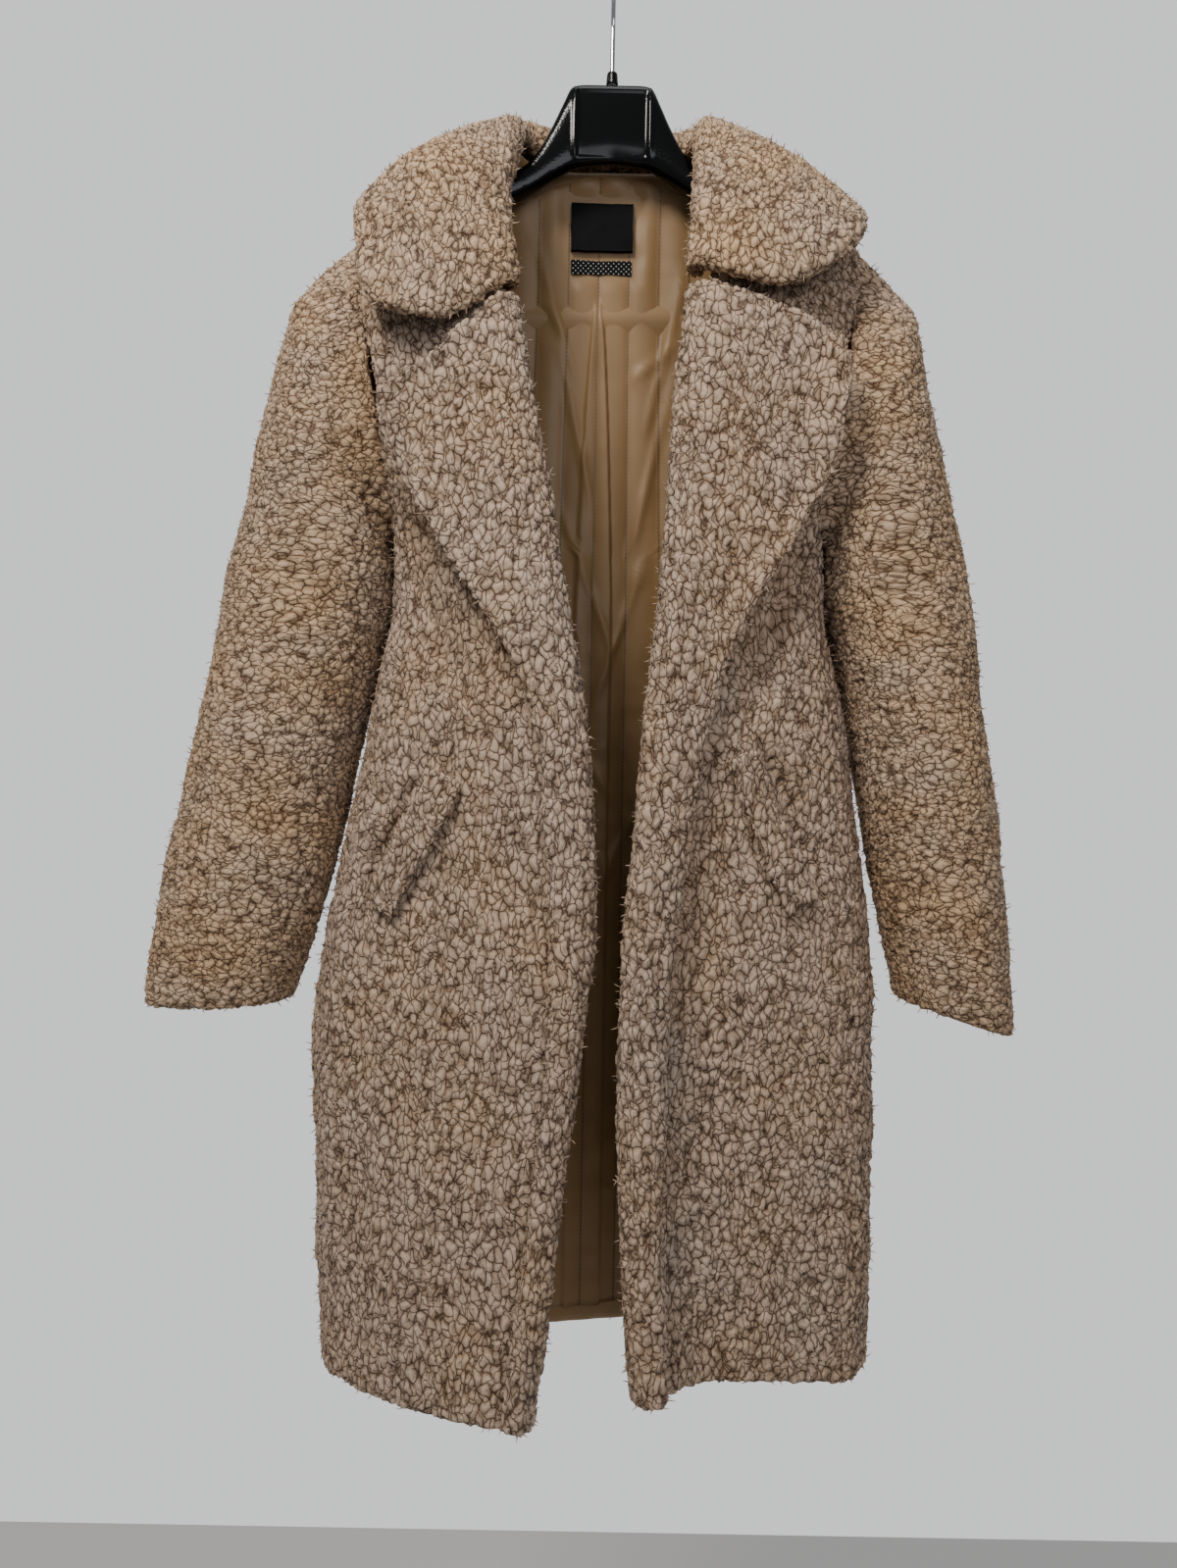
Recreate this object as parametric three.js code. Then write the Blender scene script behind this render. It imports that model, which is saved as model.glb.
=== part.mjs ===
// Long curly-pile coat with notched lapels, hanging open on a broad plastic hanger.
// Millimetres, +Z up, the coat's front towards -Y, the wearer's left side at +X.
// The origin is where a rail carries the hook: the inside top of its bend.
import * as THREE from "three";

// Cloth and gaps
const furWall = 11; // pile, backing and padding of one layer of the coat's cloth
const liningWall = 1;
const seamGap = 0.3; // left between pieces that are sewn or lie together
const quiltPuff = 2; // how far the lining stands up between two rows of stitches
const quiltPitch = 25; // between two rows of stitches

// Main heights and widths
const hemZ = -1116;
const hemBlend = 250; // height over which the two sides of the hem settle to their own heights
const hemRise = { left: { edge: 7, side: -4 }, right: { edge: -11, side: 0 } };
const shoulderTip = { x: 195, y: -8, z: -254 };
const underarmZ = -470;
const armhole = { y: -19, lean: 11, halfDepth: 50 };
const armholeWall = { above: 0.5, below: 0.42, out: 0.15, up: 0.9 }; // how the seam's mitre stands
const sideSeam = { y: -30, forward: 6, over: 200 };
const neckHalfWidth = 74;
const neckZ = -160; // neck seam at the centre back
const neckDepth = 24; // how far behind the hanger's middle the back neck lies
const shoulderRound = 45; // height over which the cloth rolls off the hanger
const liningLift = 18; // the lining ends this far above the hem
const pleatRise = { columns: 2, topZ: -250, height: 2.5 }; // the lining's box pleat

// Grid of the body: rows down the armhole, rows below it, columns across a front
const armholeRows = 10;
const lowerRows = 9;
const acrossFront = [0, 0.1, 0.22, 0.36, 0.5, 0.64, 0.76, 0.85, 0.92, 1];

// The ridge of the shoulder seam, which lies along the hanger
const ridge = [
  { x: 74, z: -165 },
  { x: 95, z: -172 },
  { x: 115, z: -182 },
  { x: 145, z: -200 },
  { x: 172, z: -226 },
  { x: 195, z: -254 },
];

// Centre back: how far the cloth lies behind the hanger's middle
const backDepth = [
  { z: -160, y: 25 },
  { z: -230, y: 31 },
  { z: -350, y: 35 },
  { z: -600, y: 31 },
  { z: -850, y: 29 },
  { z: -1116, y: 28 },
];

// The four soft folds of the back that open towards the hem
const backFolds = [
  { x: -128, width: 34, depth: 9 },
  { x: -44, width: 26, depth: -6 },
  { x: 36, width: 30, depth: 8 },
  { x: 118, width: 32, depth: -7 },
];

// One row for each height of a side: the armhole's and side seam's half width, then the front edge
// and the depth of the front at the edge, near it, in the middle and towards the side
const sideLeft = [
  { z: -165, seam: 195, edge: 74, atEdge: 0, near: 0, middle: 0, far: 0 },
  { z: -200, seam: 195, edge: 79, atEdge: -42, near: -38, middle: -34, far: -34 },
  { z: -254, seam: 195, edge: 76, atEdge: -70, near: -66, middle: -60, far: -50 },
  { z: -312, seam: 184, edge: 72, atEdge: -82, near: -80, middle: -76, far: -66 },
  { z: -380, seam: 172, edge: 66, atEdge: -90, near: -88, middle: -84, far: -74 },
  { z: -454, seam: 159, edge: 61, atEdge: -96, near: -93, middle: -87, far: -76 },
  { z: -525, seam: 161, edge: 54, atEdge: -101, near: -94, middle: -86, far: -74 },
  { z: -596, seam: 177, edge: 48, atEdge: -104, near: -92, middle: -84, far: -72 },
  { z: -667, seam: 187, edge: 42, atEdge: -106, near: -89, middle: -82, far: -70 },
  { z: -732, seam: 196, edge: 37, atEdge: -107, near: -87, middle: -80, far: -68 },
  { z: -790, seam: 205, edge: 33, atEdge: -108, near: -86, middle: -78, far: -68 },
  { z: -906, seam: 208, edge: 31, atEdge: -107, near: -82, middle: -74, far: -66 },
  { z: -1010, seam: 208, edge: 36, atEdge: -105, near: -78, middle: -68, far: -62 },
  { z: -1116, seam: 207, edge: 44, atEdge: -103, near: -72, middle: -62, far: -56 },
];
const sideRight = [
  { z: -165, seam: 195, edge: 74, atEdge: 0, near: 0, middle: 0, far: 0 },
  { z: -200, seam: 195, edge: 89, atEdge: -42, near: -38, middle: -34, far: -34 },
  { z: -254, seam: 195, edge: 92, atEdge: -70, near: -66, middle: -60, far: -50 },
  { z: -312, seam: 184, edge: 82, atEdge: -82, near: -80, middle: -76, far: -66 },
  { z: -380, seam: 172, edge: 71, atEdge: -90, near: -88, middle: -84, far: -74 },
  { z: -454, seam: 159, edge: 56, atEdge: -96, near: -93, middle: -87, far: -76 },
  { z: -525, seam: 153, edge: 43, atEdge: -101, near: -97, middle: -88, far: -76 },
  { z: -596, seam: 166, edge: 33, atEdge: -104, near: -100, middle: -90, far: -76 },
  { z: -667, seam: 181, edge: 21, atEdge: -106, near: -99, middle: -91, far: -76 },
  { z: -732, seam: 191, edge: 17, atEdge: -107, near: -98, middle: -91, far: -76 },
  { z: -790, seam: 207, edge: 19, atEdge: -108, near: -101, middle: -92, far: -76 },
  { z: -906, seam: 211, edge: 32, atEdge: -108, near: -103, middle: -92, far: -76 },
  { z: -1010, seam: 206, edge: 44, atEdge: -108, near: -104, middle: -91, far: -74 },
  { z: -1116, seam: 201, edge: 56, atEdge: -107, near: -103, middle: -88, far: -68 },
];

// Sleeves: along the sleeve, the inner and the outer side of a ring, its half depth and its middle
const sleeveLeft = [
  { s: 0, innerX: 159, innerZ: -470, outerX: 195, outerZ: -254, deep: 50, y: -19 },
  { s: 0.1, innerX: 187, innerZ: -481, outerX: 223, outerZ: -281, deep: 57, y: -18 },
  { s: 0.22, innerX: 187, innerZ: -520, outerX: 238, outerZ: -350, deep: 59, y: -16 },
  { s: 0.35, innerX: 193, innerZ: -556, outerX: 256, outerZ: -432, deep: 60, y: -15 },
  { s: 0.5, innerX: 201, innerZ: -600, outerX: 275, outerZ: -520, deep: 60, y: -16 },
  { s: 0.65, innerX: 211, innerZ: -660, outerX: 286, outerZ: -612, deep: 58, y: -20 },
  { s: 0.8, innerX: 223, innerZ: -728, outerX: 298, outerZ: -705, deep: 53, y: -26 },
  { s: 0.92, innerX: 236, innerZ: -785, outerX: 305, outerZ: -790, deep: 47, y: -30 },
  { s: 1, innerX: 244, innerZ: -828, outerX: 310, outerZ: -855, deep: 43, y: -32 },
];
const sleeveRight = [
  { s: 0, innerX: 159, innerZ: -470, outerX: 195, outerZ: -254, deep: 50, y: -19 },
  { s: 0.1, innerX: 186, innerZ: -480, outerX: 231, outerZ: -284, deep: 56, y: -18 },
  { s: 0.22, innerX: 182, innerZ: -520, outerX: 250, outerZ: -352, deep: 56, y: -16 },
  { s: 0.35, innerX: 184, innerZ: -556, outerX: 268, outerZ: -440, deep: 55, y: -15 },
  { s: 0.5, innerX: 191, innerZ: -598, outerX: 286, outerZ: -520, deep: 54, y: -16 },
  { s: 0.65, innerX: 203, innerZ: -658, outerX: 301, outerZ: -612, deep: 52, y: -20 },
  { s: 0.8, innerX: 216, innerZ: -732, outerX: 320, outerZ: -705, deep: 46, y: -26 },
  { s: 0.92, innerX: 233, innerZ: -795, outerX: 333, outerZ: -785, deep: 40, y: -31 },
  { s: 1, innerX: 247, innerZ: -836, outerX: 338, outerZ: -843, deep: 36, y: -33 },
];
const sleeveRings = 15;

// The creases that run across a sleeve where the arm bends
const sleeveCreases = [
  { s: 0.4, turn: 4.4, depth: 4, width: 0.022 },
  { s: 0.5, turn: 5.2, depth: 5, width: 0.025 },
  { s: 0.58, turn: 4.2, depth: 4, width: 0.02 },
  { s: 0.47, turn: 1.2, depth: 5, width: 0.03 },
];

// Facings: each row starts at a height of the front edge (edgeZ), from the gorge to the hem. It holds
// the middle and the outer edge of the lapel, or of the strip that rolls to the front lower down,
// and how far that outer edge stands off the front (lift)
const facingLeft = [
  { edgeZ: -298, midX: 126, midZ: -320, outX: 168, outZ: -342, lift: 14 },
  { edgeZ: -340, midX: 130, midZ: -356, outX: 176, outZ: -366, lift: 15 },
  { edgeZ: -400, midX: 124, midZ: -413, outX: 169, outZ: -418, lift: 12 },
  { edgeZ: -460, midX: 110, midZ: -470, outX: 148, outZ: -470, lift: 14 },
  { edgeZ: -520, midX: 92, midZ: -526, outX: 121, outZ: -520, lift: 14 },
  { edgeZ: -585, midX: 74, midZ: -586, outX: 92, outZ: -578, lift: 10 },
  { edgeZ: -640, midX: 64, midZ: -640, outX: 76, outZ: -634, lift: 6 },
  { edgeZ: -710, midX: 54, midZ: -710, outX: 66, outZ: -706, lift: 2 },
  { edgeZ: -800, midX: 46, midZ: -800, outX: 54, outZ: -798, lift: 1 },
  { edgeZ: -920, midX: 42, midZ: -920, outX: 47, outZ: -920, lift: 0.5 },
  { edgeZ: -1020, midX: 44, midZ: -1020, outX: 49, outZ: -1020, lift: 0.5 },
  { edgeZ: -1109, midX: 50, midZ: -1109, outX: 54, outZ: -1109, lift: 0.5 },
];
const facingRight = [
  { edgeZ: -310, midX: 118, midZ: -351, outX: 164, outZ: -384, lift: 14 },
  { edgeZ: -350, midX: 122, midZ: -384, outX: 166, outZ: -404, lift: 15 },
  { edgeZ: -400, midX: 114, midZ: -422, outX: 151, outZ: -440, lift: 12 },
  { edgeZ: -460, midX: 92, midZ: -474, outX: 124, outZ: -492, lift: 13 },
  { edgeZ: -520, midX: 68, midZ: -532, outX: 88, outZ: -548, lift: 13 },
  { edgeZ: -580, midX: 50, midZ: -588, outX: 60, outZ: -596, lift: 8 },
  { edgeZ: -640, midX: 42, midZ: -643, outX: 48, outZ: -646, lift: 4 },
  { edgeZ: -710, midX: 36, midZ: -710, outX: 42, outZ: -710, lift: 2 },
  { edgeZ: -800, midX: 30, midZ: -800, outX: 36, outZ: -800, lift: 1 },
  { edgeZ: -920, midX: 38, midZ: -920, outX: 42, outZ: -920, lift: 0.5 },
  { edgeZ: -1020, midX: 50, midZ: -1020, outX: 54, outZ: -1020, lift: 0.5 },
  { edgeZ: -1126, midX: 62, midZ: -1125, outX: 66, outZ: -1125, lift: 0.5 },
];
const facingRows = 20;
const facingInside = 46; // width of the facing on the inside of the front
const lapelWall = 12;
const rolledGap = 1.3; // between the facing and the front that it folds round

// Collar: a runs from the centre back (0) round to the gorge (1). Then come x, y and z of the neck
// seam (n), the top of the fold (r), the middle of the fall (m) and its outer edge (e)
const collarColumns = ["a", "nx", "ny", "nz", "rx", "ry", "rz", "mx", "my", "mz", "ex", "ey", "ez"];
const withColumns = (row) => Object.fromEntries(collarColumns.map((name, i) => [name, row[i]]));
const collarLeft = [
  [0, 0, 36.5, -157, 0, 46, -128, 0, 58, -172, 0, 58, -238],
  [0.2, 38, 34, -157, 42, 42, -128, 62, 54, -168, 84, 58, -246],
  [0.38, 71, 17, -153, 76, 20, -134, 116, 34, -156, 150, 52, -233],
  [0.5, 75, -2, -152, 79, -8, -142, 128, 6, -167, 180, 16, -211],
  [0.66, 77, -34, -182, 77, -48, -176, 134, -60, -200, 188, -56, -240],
  [0.84, 77, -60, -232, 74, -76, -228, 132, -94, -252, 184, -82, -264],
  [1, 72, -74, -290, 67, -90, -292, 125, -106, -310, 175, -98, -283],
].map(withColumns);
const collarRight = [
  [0, 0, 36.5, -157, 0, 46, -128, 0, 58, -172, 0, 58, -238],
  [0.2, 38, 34, -157, 42, 42, -128, 62, 54, -168, 84, 58, -246],
  [0.38, 71, 17, -153, 76, 20, -134, 116, 34, -156, 150, 52, -233],
  [0.5, 76, -2, -152, 82, -8, -146, 132, 6, -168, 180, 12, -208],
  [0.66, 83, -34, -182, 85, -48, -178, 136, -66, -198, 187, -62, -243],
  [0.84, 91, -62, -236, 87, -76, -232, 136, -98, -268, 182, -88, -296],
  [1, 83, -75, -303, 78, -90, -304, 115, -108, -338, 171, -100, -328],
].map(withColumns);
const collarStations = 12; // on each side of the centre back
const collarSteps = 11; // from the neck seam to the outer edge
const collarWall = 12;

// Pocket welts: the ends of the slanted opening on each front, and the welt's width
const welt = { wide: 27, thick: 5, across: 3, along: 8 };
const pocketLeft = { topX: 112, topZ: -638, lowX: 162, lowZ: -750 };
const pocketRight = { topX: 122, topZ: -655, lowX: 174, lowZ: -757 };

// Labels on the back lining
const labels = [
  { name: "label_main", x: -6, wide: 51, topZ: -187, lowZ: -226 },
  { name: "label_strip", x: -6, wide: 50, topZ: -233, lowZ: -244 },
];
const labelWall = 0.8;

// Hanger: for each station of a half, the top and underside and half the depth
const hangerSections = [
  { x: 0, top: -104, low: -167, half: 9 },
  { x: 25, top: -104, low: -170, half: 9 },
  { x: 33, top: -105.5, low: -173, half: 9 },
  { x: 38, top: -117, low: -176, half: 9 },
  { x: 47, top: -137, low: -181, half: 9 },
  { x: 57, top: -157, low: -188, half: 9.5 },
  { x: 68, top: -171, low: -195, half: 10 },
  { x: 85, top: -179, low: -205, half: 12 },
  { x: 115, top: -191, low: -219, half: 15 },
  { x: 145, top: -209, low: -236, half: 16 },
  { x: 168, top: -232, low: -254, half: 16 },
  { x: 184, top: -252, low: -268, half: 12 },
];
const hangerPoints = 16;
const ferrule = { low: -103.7, top: -94, radius: 4.2, neck: 5 };
const hook = { wire: 2, bend: 22, neckTop: -52, neckLow: -103.4 };

const clamp = (value, low, high) => Math.min(high, Math.max(low, value));
const mix = (a, b, share) => a + (b - a) * share;

// Every column of a table at one value of its knot column, by cubic curves through the rows.
function readTable(rows, knot, at) {
  const last = rows.length - 1;
  const way = Math.sign(rows[last][knot] - rows[0][knot]);
  let i = 0;
  while (i < last - 1 && way * at > way * rows[i + 1][knot]) i += 1;
  const [a, b] = [rows[i], rows[i + 1]];
  const span = b[knot] - a[knot];
  const f = clamp((at - a[knot]) / span, 0, 1);
  const slope = (j, key) => {
    const [p, q] = [rows[Math.max(j - 1, 0)], rows[Math.min(j + 1, last)]];
    return (q[key] - p[key]) / (q[knot] - p[knot]);
  };
  const out = {};
  for (const key of Object.keys(a)) {
    const [f2, f3] = [f * f, f * f * f];
    out[key] =
      (2 * f3 - 3 * f2 + 1) * a[key] +
      (f3 - 2 * f2 + f) * span * slope(i, key) +
      (3 * f2 - 2 * f3) * b[key] +
      (f3 - f2) * span * slope(i + 1, key);
  }
  return out;
}

// A point on the smooth curve through a short list of points, at a share of its length in points.
function throughPoints(points, share) {
  const last = points.length - 1;
  const at = clamp(share, 0, 1) * last;
  const i = Math.min(Math.floor(at), last - 1);
  const pick = (j) => points[clamp(j, 0, last)];
  const [p0, p1, p2, p3] = [pick(i - 1), pick(i), pick(i + 1), pick(i + 2)];
  const f = at - i;
  const blend = (a, b, c, d) =>
    0.5 *
    (2 * b + (c - a) * f + (2 * a - 5 * b + 4 * c - d) * f * f + (3 * b - a - 3 * c + d) * f * f * f);
  return new THREE.Vector3(
    blend(p0.x, p1.x, p2.x, p3.x),
    blend(p0.y, p1.y, p2.y, p3.y),
    blend(p0.z, p1.z, p2.z, p3.z),
  );
}

// The way a grid of points faces at each point. A ring's columns meet their own start again.
function normalsOf(grid, ring, turned) {
  const [rows, columns] = [grid.length, grid[0].length];
  const column = (j) => (ring ? (j + columns) % columns : clamp(j, 0, columns - 1));
  return grid.map((row, i) =>
    row.map((_, j) => {
      const across = row[column(j + 1)].clone().sub(row[column(j - 1)]);
      const down = grid[Math.min(i + 1, rows - 1)][j].clone().sub(grid[Math.max(i - 1, 0)][j]);
      return across.cross(down).normalize().multiplyScalar(turned ? -1 : 1);
    }),
  );
}

// The grid moved out along its directions by a distance, which may differ from point to point.
function movedOut(grid, directions, distance) {
  const far = typeof distance === "function" ? distance : () => distance;
  return grid.map((row, i) => row.map((p, j) => p.clone().addScaledVector(directions[i][j], far(i, j))));
}

// A closed wall between two grids of the same size. A ring is closed round, with open ends.
function wall(inner, outer, ring = false) {
  const [rows, columns] = [inner.length, inner[0].length];
  const points = [...inner.flat(), ...outer.flat()];
  const skin = rows * columns;
  const at = (layer, i, j) => layer * skin + i * columns + (j % columns);
  const index = [];
  const quad = (a, b, c, d) => index.push(a, b, c, a, c, d);
  // Two walls that meet at a seam have their end faces split the same way: from the inner point
  // that is higher to the outer point that is lower.
  const strip = (innerA, outerA, outerB, innerB) => {
    if (points[innerA].z >= points[innerB].z) quad(innerA, outerA, outerB, innerB);
    else quad(outerA, outerB, innerB, innerA);
  };
  const lastColumn = ring ? columns : columns - 1;
  for (let i = 0; i < rows - 1; i += 1) {
    for (let j = 0; j < lastColumn; j += 1) {
      quad(at(1, i, j), at(1, i + 1, j), at(1, i + 1, j + 1), at(1, i, j + 1));
      quad(at(0, i, j), at(0, i, j + 1), at(0, i + 1, j + 1), at(0, i + 1, j));
    }
  }
  for (let j = 0; j < lastColumn; j += 1) {
    const end = rows - 1;
    strip(at(0, 0, j), at(1, 0, j), at(1, 0, j + 1), at(0, 0, j + 1));
    strip(at(0, end, j + 1), at(1, end, j + 1), at(1, end, j), at(0, end, j));
  }
  for (let i = 0; !ring && i < rows - 1; i += 1) {
    const end = columns - 1;
    strip(at(0, i + 1, 0), at(1, i + 1, 0), at(1, i, 0), at(0, i, 0));
    strip(at(0, i, end), at(1, i, end), at(1, i + 1, end), at(0, i + 1, end));
  }
  return solid(points, index);
}

// A geometry from points and triangles, turned so that its faces point out.
function solid(points, index) {
  let volume = 0;
  for (let i = 0; i < index.length; i += 3) {
    const [a, b, c] = [points[index[i]], points[index[i + 1]], points[index[i + 2]]];
    volume += a.dot(b.clone().cross(c));
  }
  const faces = volume < 0 ? index.slice().reverse() : index;
  const geometry = new THREE.BufferGeometry();
  geometry.setAttribute("position", new THREE.Float32BufferAttribute(points.flatMap((p) => p.toArray()), 3));
  geometry.setIndex(faces);
  geometry.computeVertexNormals();
  return geometry;
}

// A body from closed rings of points, with a flat fan over each end.
function lofted(rings) {
  const count = rings[0].length;
  const middle = (ring) => ring.reduce((sum, p) => sum.add(p), new THREE.Vector3()).divideScalar(count);
  const points = [...rings.flat(), middle(rings[0]), middle(rings[rings.length - 1])];
  const [first, last] = [points.length - 2, points.length - 1];
  const end = (rings.length - 1) * count;
  const index = [];
  for (let j = 0; j < count; j += 1) {
    const next = (j + 1) % count;
    for (let i = 0; i < end; i += count) {
      index.push(i + j, i + count + j, i + count + next, i + j, i + count + next, i + next);
    }
    index.push(first, j, next, last, end + next, end + j);
  }
  return solid(points, index);
}

// Body

// Height of each row of the body at its outer column, and its share of the way to the hem.
const rowShares = [];
for (let k = 0; k <= armholeRows; k += 1) {
  const turn = (Math.PI * k) / armholeRows;
  const z = mix(shoulderTip.z, underarmZ, (1 - Math.cos(turn)) / 2);
  rowShares.push((shoulderTip.z - z) / (shoulderTip.z - hemZ));
}
const underarmShare = rowShares[armholeRows];
for (let k = 1; k <= lowerRows; k += 1) {
  rowShares.push(mix(underarmShare, 1, k / lowerRows));
}

// The top of the body above a half width: the neck seam, then the shoulder's ridge.
function topOf(x) {
  if (x < neckHalfWidth) {
    const way = x / neckHalfWidth;
    return { y: neckDepth * Math.sqrt(1 - way * way) + 2 * way, z: mix(neckZ, ridge[0].z, way ** 3) };
  }
  const way = (x - neckHalfWidth) / (shoulderTip.x - neckHalfWidth);
  return { y: mix(2, shoulderTip.y, way), z: readTable(ridge, "x", x).z };
}

// How far the cloth has rolled off the hanger at a depth below the ridge, from 0 to 1.
function rolledOff(below) {
  const left = 1 - clamp(below / shoulderRound, 0, 1);
  return Math.sqrt(1 - left * left);
}

// Where the armhole passes at a height: forward (-1) or back (1) of its middle.
function armholeY(z, way) {
  const up = clamp((2 * z - shoulderTip.z - underarmZ) / (shoulderTip.z - underarmZ), -1, 1);
  return armhole.y + armhole.lean * up + way * armhole.halfDepth * Math.sqrt(1 - up * up);
}
const seamY = (z) => sideSeam.y - sideSeam.forward * clamp((underarmZ - z) / sideSeam.over, 0, 1);
const edgeY = (z, way) => (z > underarmZ ? armholeY(z, way) : seamY(z));

// The way the cloth's wall stands at the armhole, so that body and sleeve share one mitred seam.
function armholeOut(z, way, sign) {
  const up = clamp((2 * z - shoulderTip.z - underarmZ) / (shoulderTip.z - underarmZ), -1, 1);
  const side = Math.sqrt(1 - up * up);
  const lean = up > 0 ? armholeWall.above * up : -armholeWall.below * up;
  return new THREE.Vector3(sign * (lean + armholeWall.out * side), way * side, armholeWall.up * up).normalize();
}

// The side of the body is round: how much of the full depth is left near the side seam.
const sideRound = (across) => Math.sqrt(Math.max(0, 1 - across ** 6));

// The height of a point of the body, whose hem hangs higher or lower by a rise at that point.
function settled(z, rise) {
  return z + rise * clamp((hemZ + hemBlend - z) / hemBlend, 0, 1);
}

// A point of the back's inner face, at a share of the half width and of the way down.
function backPoint(across, share, sign, rows) {
  const top = topOf(across * shoulderTip.x);
  const z = mix(top.z, hemZ, share);
  const rise = hemRise[sign > 0 ? "left" : "right"].side * across ** 2;
  const x = across * readTable(rows, "z", z).seam;
  const open = clamp((-z - 420) / 700, 0, 1);
  const fold = backFolds.reduce(
    (sum, f) => sum + f.depth * open * Math.exp(-(((sign * x - f.x) / f.width) ** 2)),
    0,
  );
  const flat = readTable(backDepth, "z", z).y + fold * (1 - across ** 4);
  const full = mix(edgeY(z, 1), flat, sideRound(across));
  const rolled = mix(rolledOff(top.z - z), 1, across ** 8);
  return new THREE.Vector3(sign * x, mix(top.y, full, rolled), settled(z, rise));
}

// The front's inner face: its depth at a share of the way from the edge to the side.
function frontDepth(across, z, row) {
  const depths = [
    { t: 0, y: row.atEdge },
    { t: 0.2, y: row.near },
    { t: 0.5, y: row.middle },
    { t: 0.85, y: row.far },
    { t: 1, y: row.far + 3 },
  ];
  return mix(edgeY(z, -1), readTable(depths, "t", across).y, sideRound(across));
}

// A point of a front's inner face.
function frontPoint(across, share, sign, rows) {
  const top = topOf(mix(neckHalfWidth, shoulderTip.x, across));
  const z = mix(top.z, hemZ, share);
  const row = readTable(rows, "z", z);
  const rolled = mix(rolledOff(top.z - z), 1, across ** 8);
  const y = mix(top.y, frontDepth(across, z, row), rolled);
  const { edge, side } = hemRise[sign > 0 ? "left" : "right"];
  return new THREE.Vector3(sign * mix(row.edge, row.seam, across), y, settled(z, mix(edge, side, across ** 2)));
}

// Turns the outermost columns and the top row of a body panel to the seams' shared directions.
function alongSeams(directions, grid, sign, way, seamColumns) {
  directions.forEach((row, i) => {
    for (const { column, side } of seamColumns) {
      const z = grid[i][column].z;
      row[column] = z > underarmZ - 1 ? armholeOut(z, way, side) : new THREE.Vector3(side, 0, 0);
    }
  });
  const topRow = directions[0];
  grid[0].forEach((p, j) => {
    const onShoulder = Math.abs(p.x) > neckHalfWidth - 1 && Math.abs(p.x) < shoulderTip.x - 1;
    if (onShoulder) topRow[j] = new THREE.Vector3(sign * 0.3 * Math.sign(p.x * sign), 0, 1).normalize();
  });
  return directions;
}

const shift = (grid, x, y, z) => grid.map((row) => row.map((p) => p.clone().add(new THREE.Vector3(x, y, z))));

// The columns of half a back, as shares of its half width: two for each row of the quilting.
const acrossBack = [];
for (let x = 0; x < shoulderTip.x - quiltPitch / 4; x += quiltPitch / 2) acrossBack.push(x / shoulderTip.x);
acrossBack.push(1);

function backGrid() {
  return rowShares.map((share) => {
    const half = (sign, rows) => acrossBack.map((t) => backPoint(t, share, sign, rows));
    return [...half(-1, sideRight).reverse(), ...half(1, sideLeft).slice(1)];
  });
}

function backDirections(grid) {
  const last = grid[0].length - 1;
  const ends = [
    { column: 0, side: -1 },
    { column: last, side: 1 },
  ];
  return alongSeams(normalsOf(grid, false, false), grid, 1, 1, ends);
}

function frontGrid(sign, rows) {
  return rowShares.map((share) => acrossFront.map((t) => frontPoint(t, share, sign, rows)));
}

// The wall of a front stands straight forward at its free edge.
function frontDirections(grid, sign) {
  const ends = [{ column: acrossFront.length - 1, side: sign }];
  const directions = alongSeams(normalsOf(grid, false, sign > 0), grid, sign, -1, ends);
  directions.slice(2).forEach((row) => row[0].set(0, -1, 0));
  return directions;
}

// Brings the outermost columns of a grid in by a gap, so that two pieces stand apart at a seam.
function narrowed(grid, columns, gap) {
  const moved = (p, j) => {
    const inwards = columns.includes(j) ? -Math.sign(p.x) * gap : 0;
    return p.clone().add(new THREE.Vector3(inwards, 0, 0));
  };
  return grid.map((row) => row.map(moved));
}

function backPanel() {
  const grid = backGrid();
  const last = grid[0].length - 1;
  const directions = backDirections(grid);
  const inner = shift(narrowed(grid, [0, last], seamGap / 2), 0, seamGap / 2, 0);
  return { inner, directions, outer: movedOut(inner, directions, furWall) };
}

function frontPanel(sign, rows) {
  const grid = frontGrid(sign, rows);
  const directions = frontDirections(grid, sign);
  const inner = shift(narrowed(grid, [acrossFront.length - 1], seamGap), 0, -seamGap / 2, 0);
  return { inner, outer: movedOut(inner, directions, furWall), rows, sign };
}

// The depth of one face of a front at a half width and height. The face is flat between its points.
function depthOn(face, { rows, sign }, x, z) {
  const cell = (list, value) => {
    let i = 0;
    while (i < list.length - 2 && value > list[i + 1]) i += 1;
    return [i, (value - list[i]) / (list[i + 1] - list[i])];
  };
  const pointAt = (aimX, aimZ) => {
    const row = readTable(rows, "z", aimZ);
    const across = clamp((aimX - row.edge) / (row.seam - row.edge), 0, 1);
    const top = topOf(mix(neckHalfWidth, shoulderTip.x, across));
    const [i, down] = cell(rowShares, clamp((top.z - aimZ) / (top.z - hemZ), 0, 1));
    const [j, along] = cell(acrossFront, across);
    const upper = face[i][j].clone().lerp(face[i][j + 1], along);
    return upper.lerp(face[i + 1][j].clone().lerp(face[i + 1][j + 1], along), down);
  };
  let [aimX, aimZ] = [x, z];
  for (let turn = 0; turn < 4; turn += 1) {
    const found = pointAt(aimX, aimZ);
    aimX += x - sign * found.x;
    aimZ += z - found.z;
  }
  return pointAt(aimX, aimZ).y;
}

// The free edge of a front's inner face at a height.
function edgeOn(front, z) {
  const line = front.inner.map((row) => row[0]);
  let i = 0;
  while (i < line.length - 2 && z < line[i + 1].z) i += 1;
  const point = line[i].clone().lerp(line[i + 1], (line[i].z - z) / (line[i].z - line[i + 1].z));
  return { x: point.x * front.sign, y: point.y };
}

// Sleeves

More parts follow.
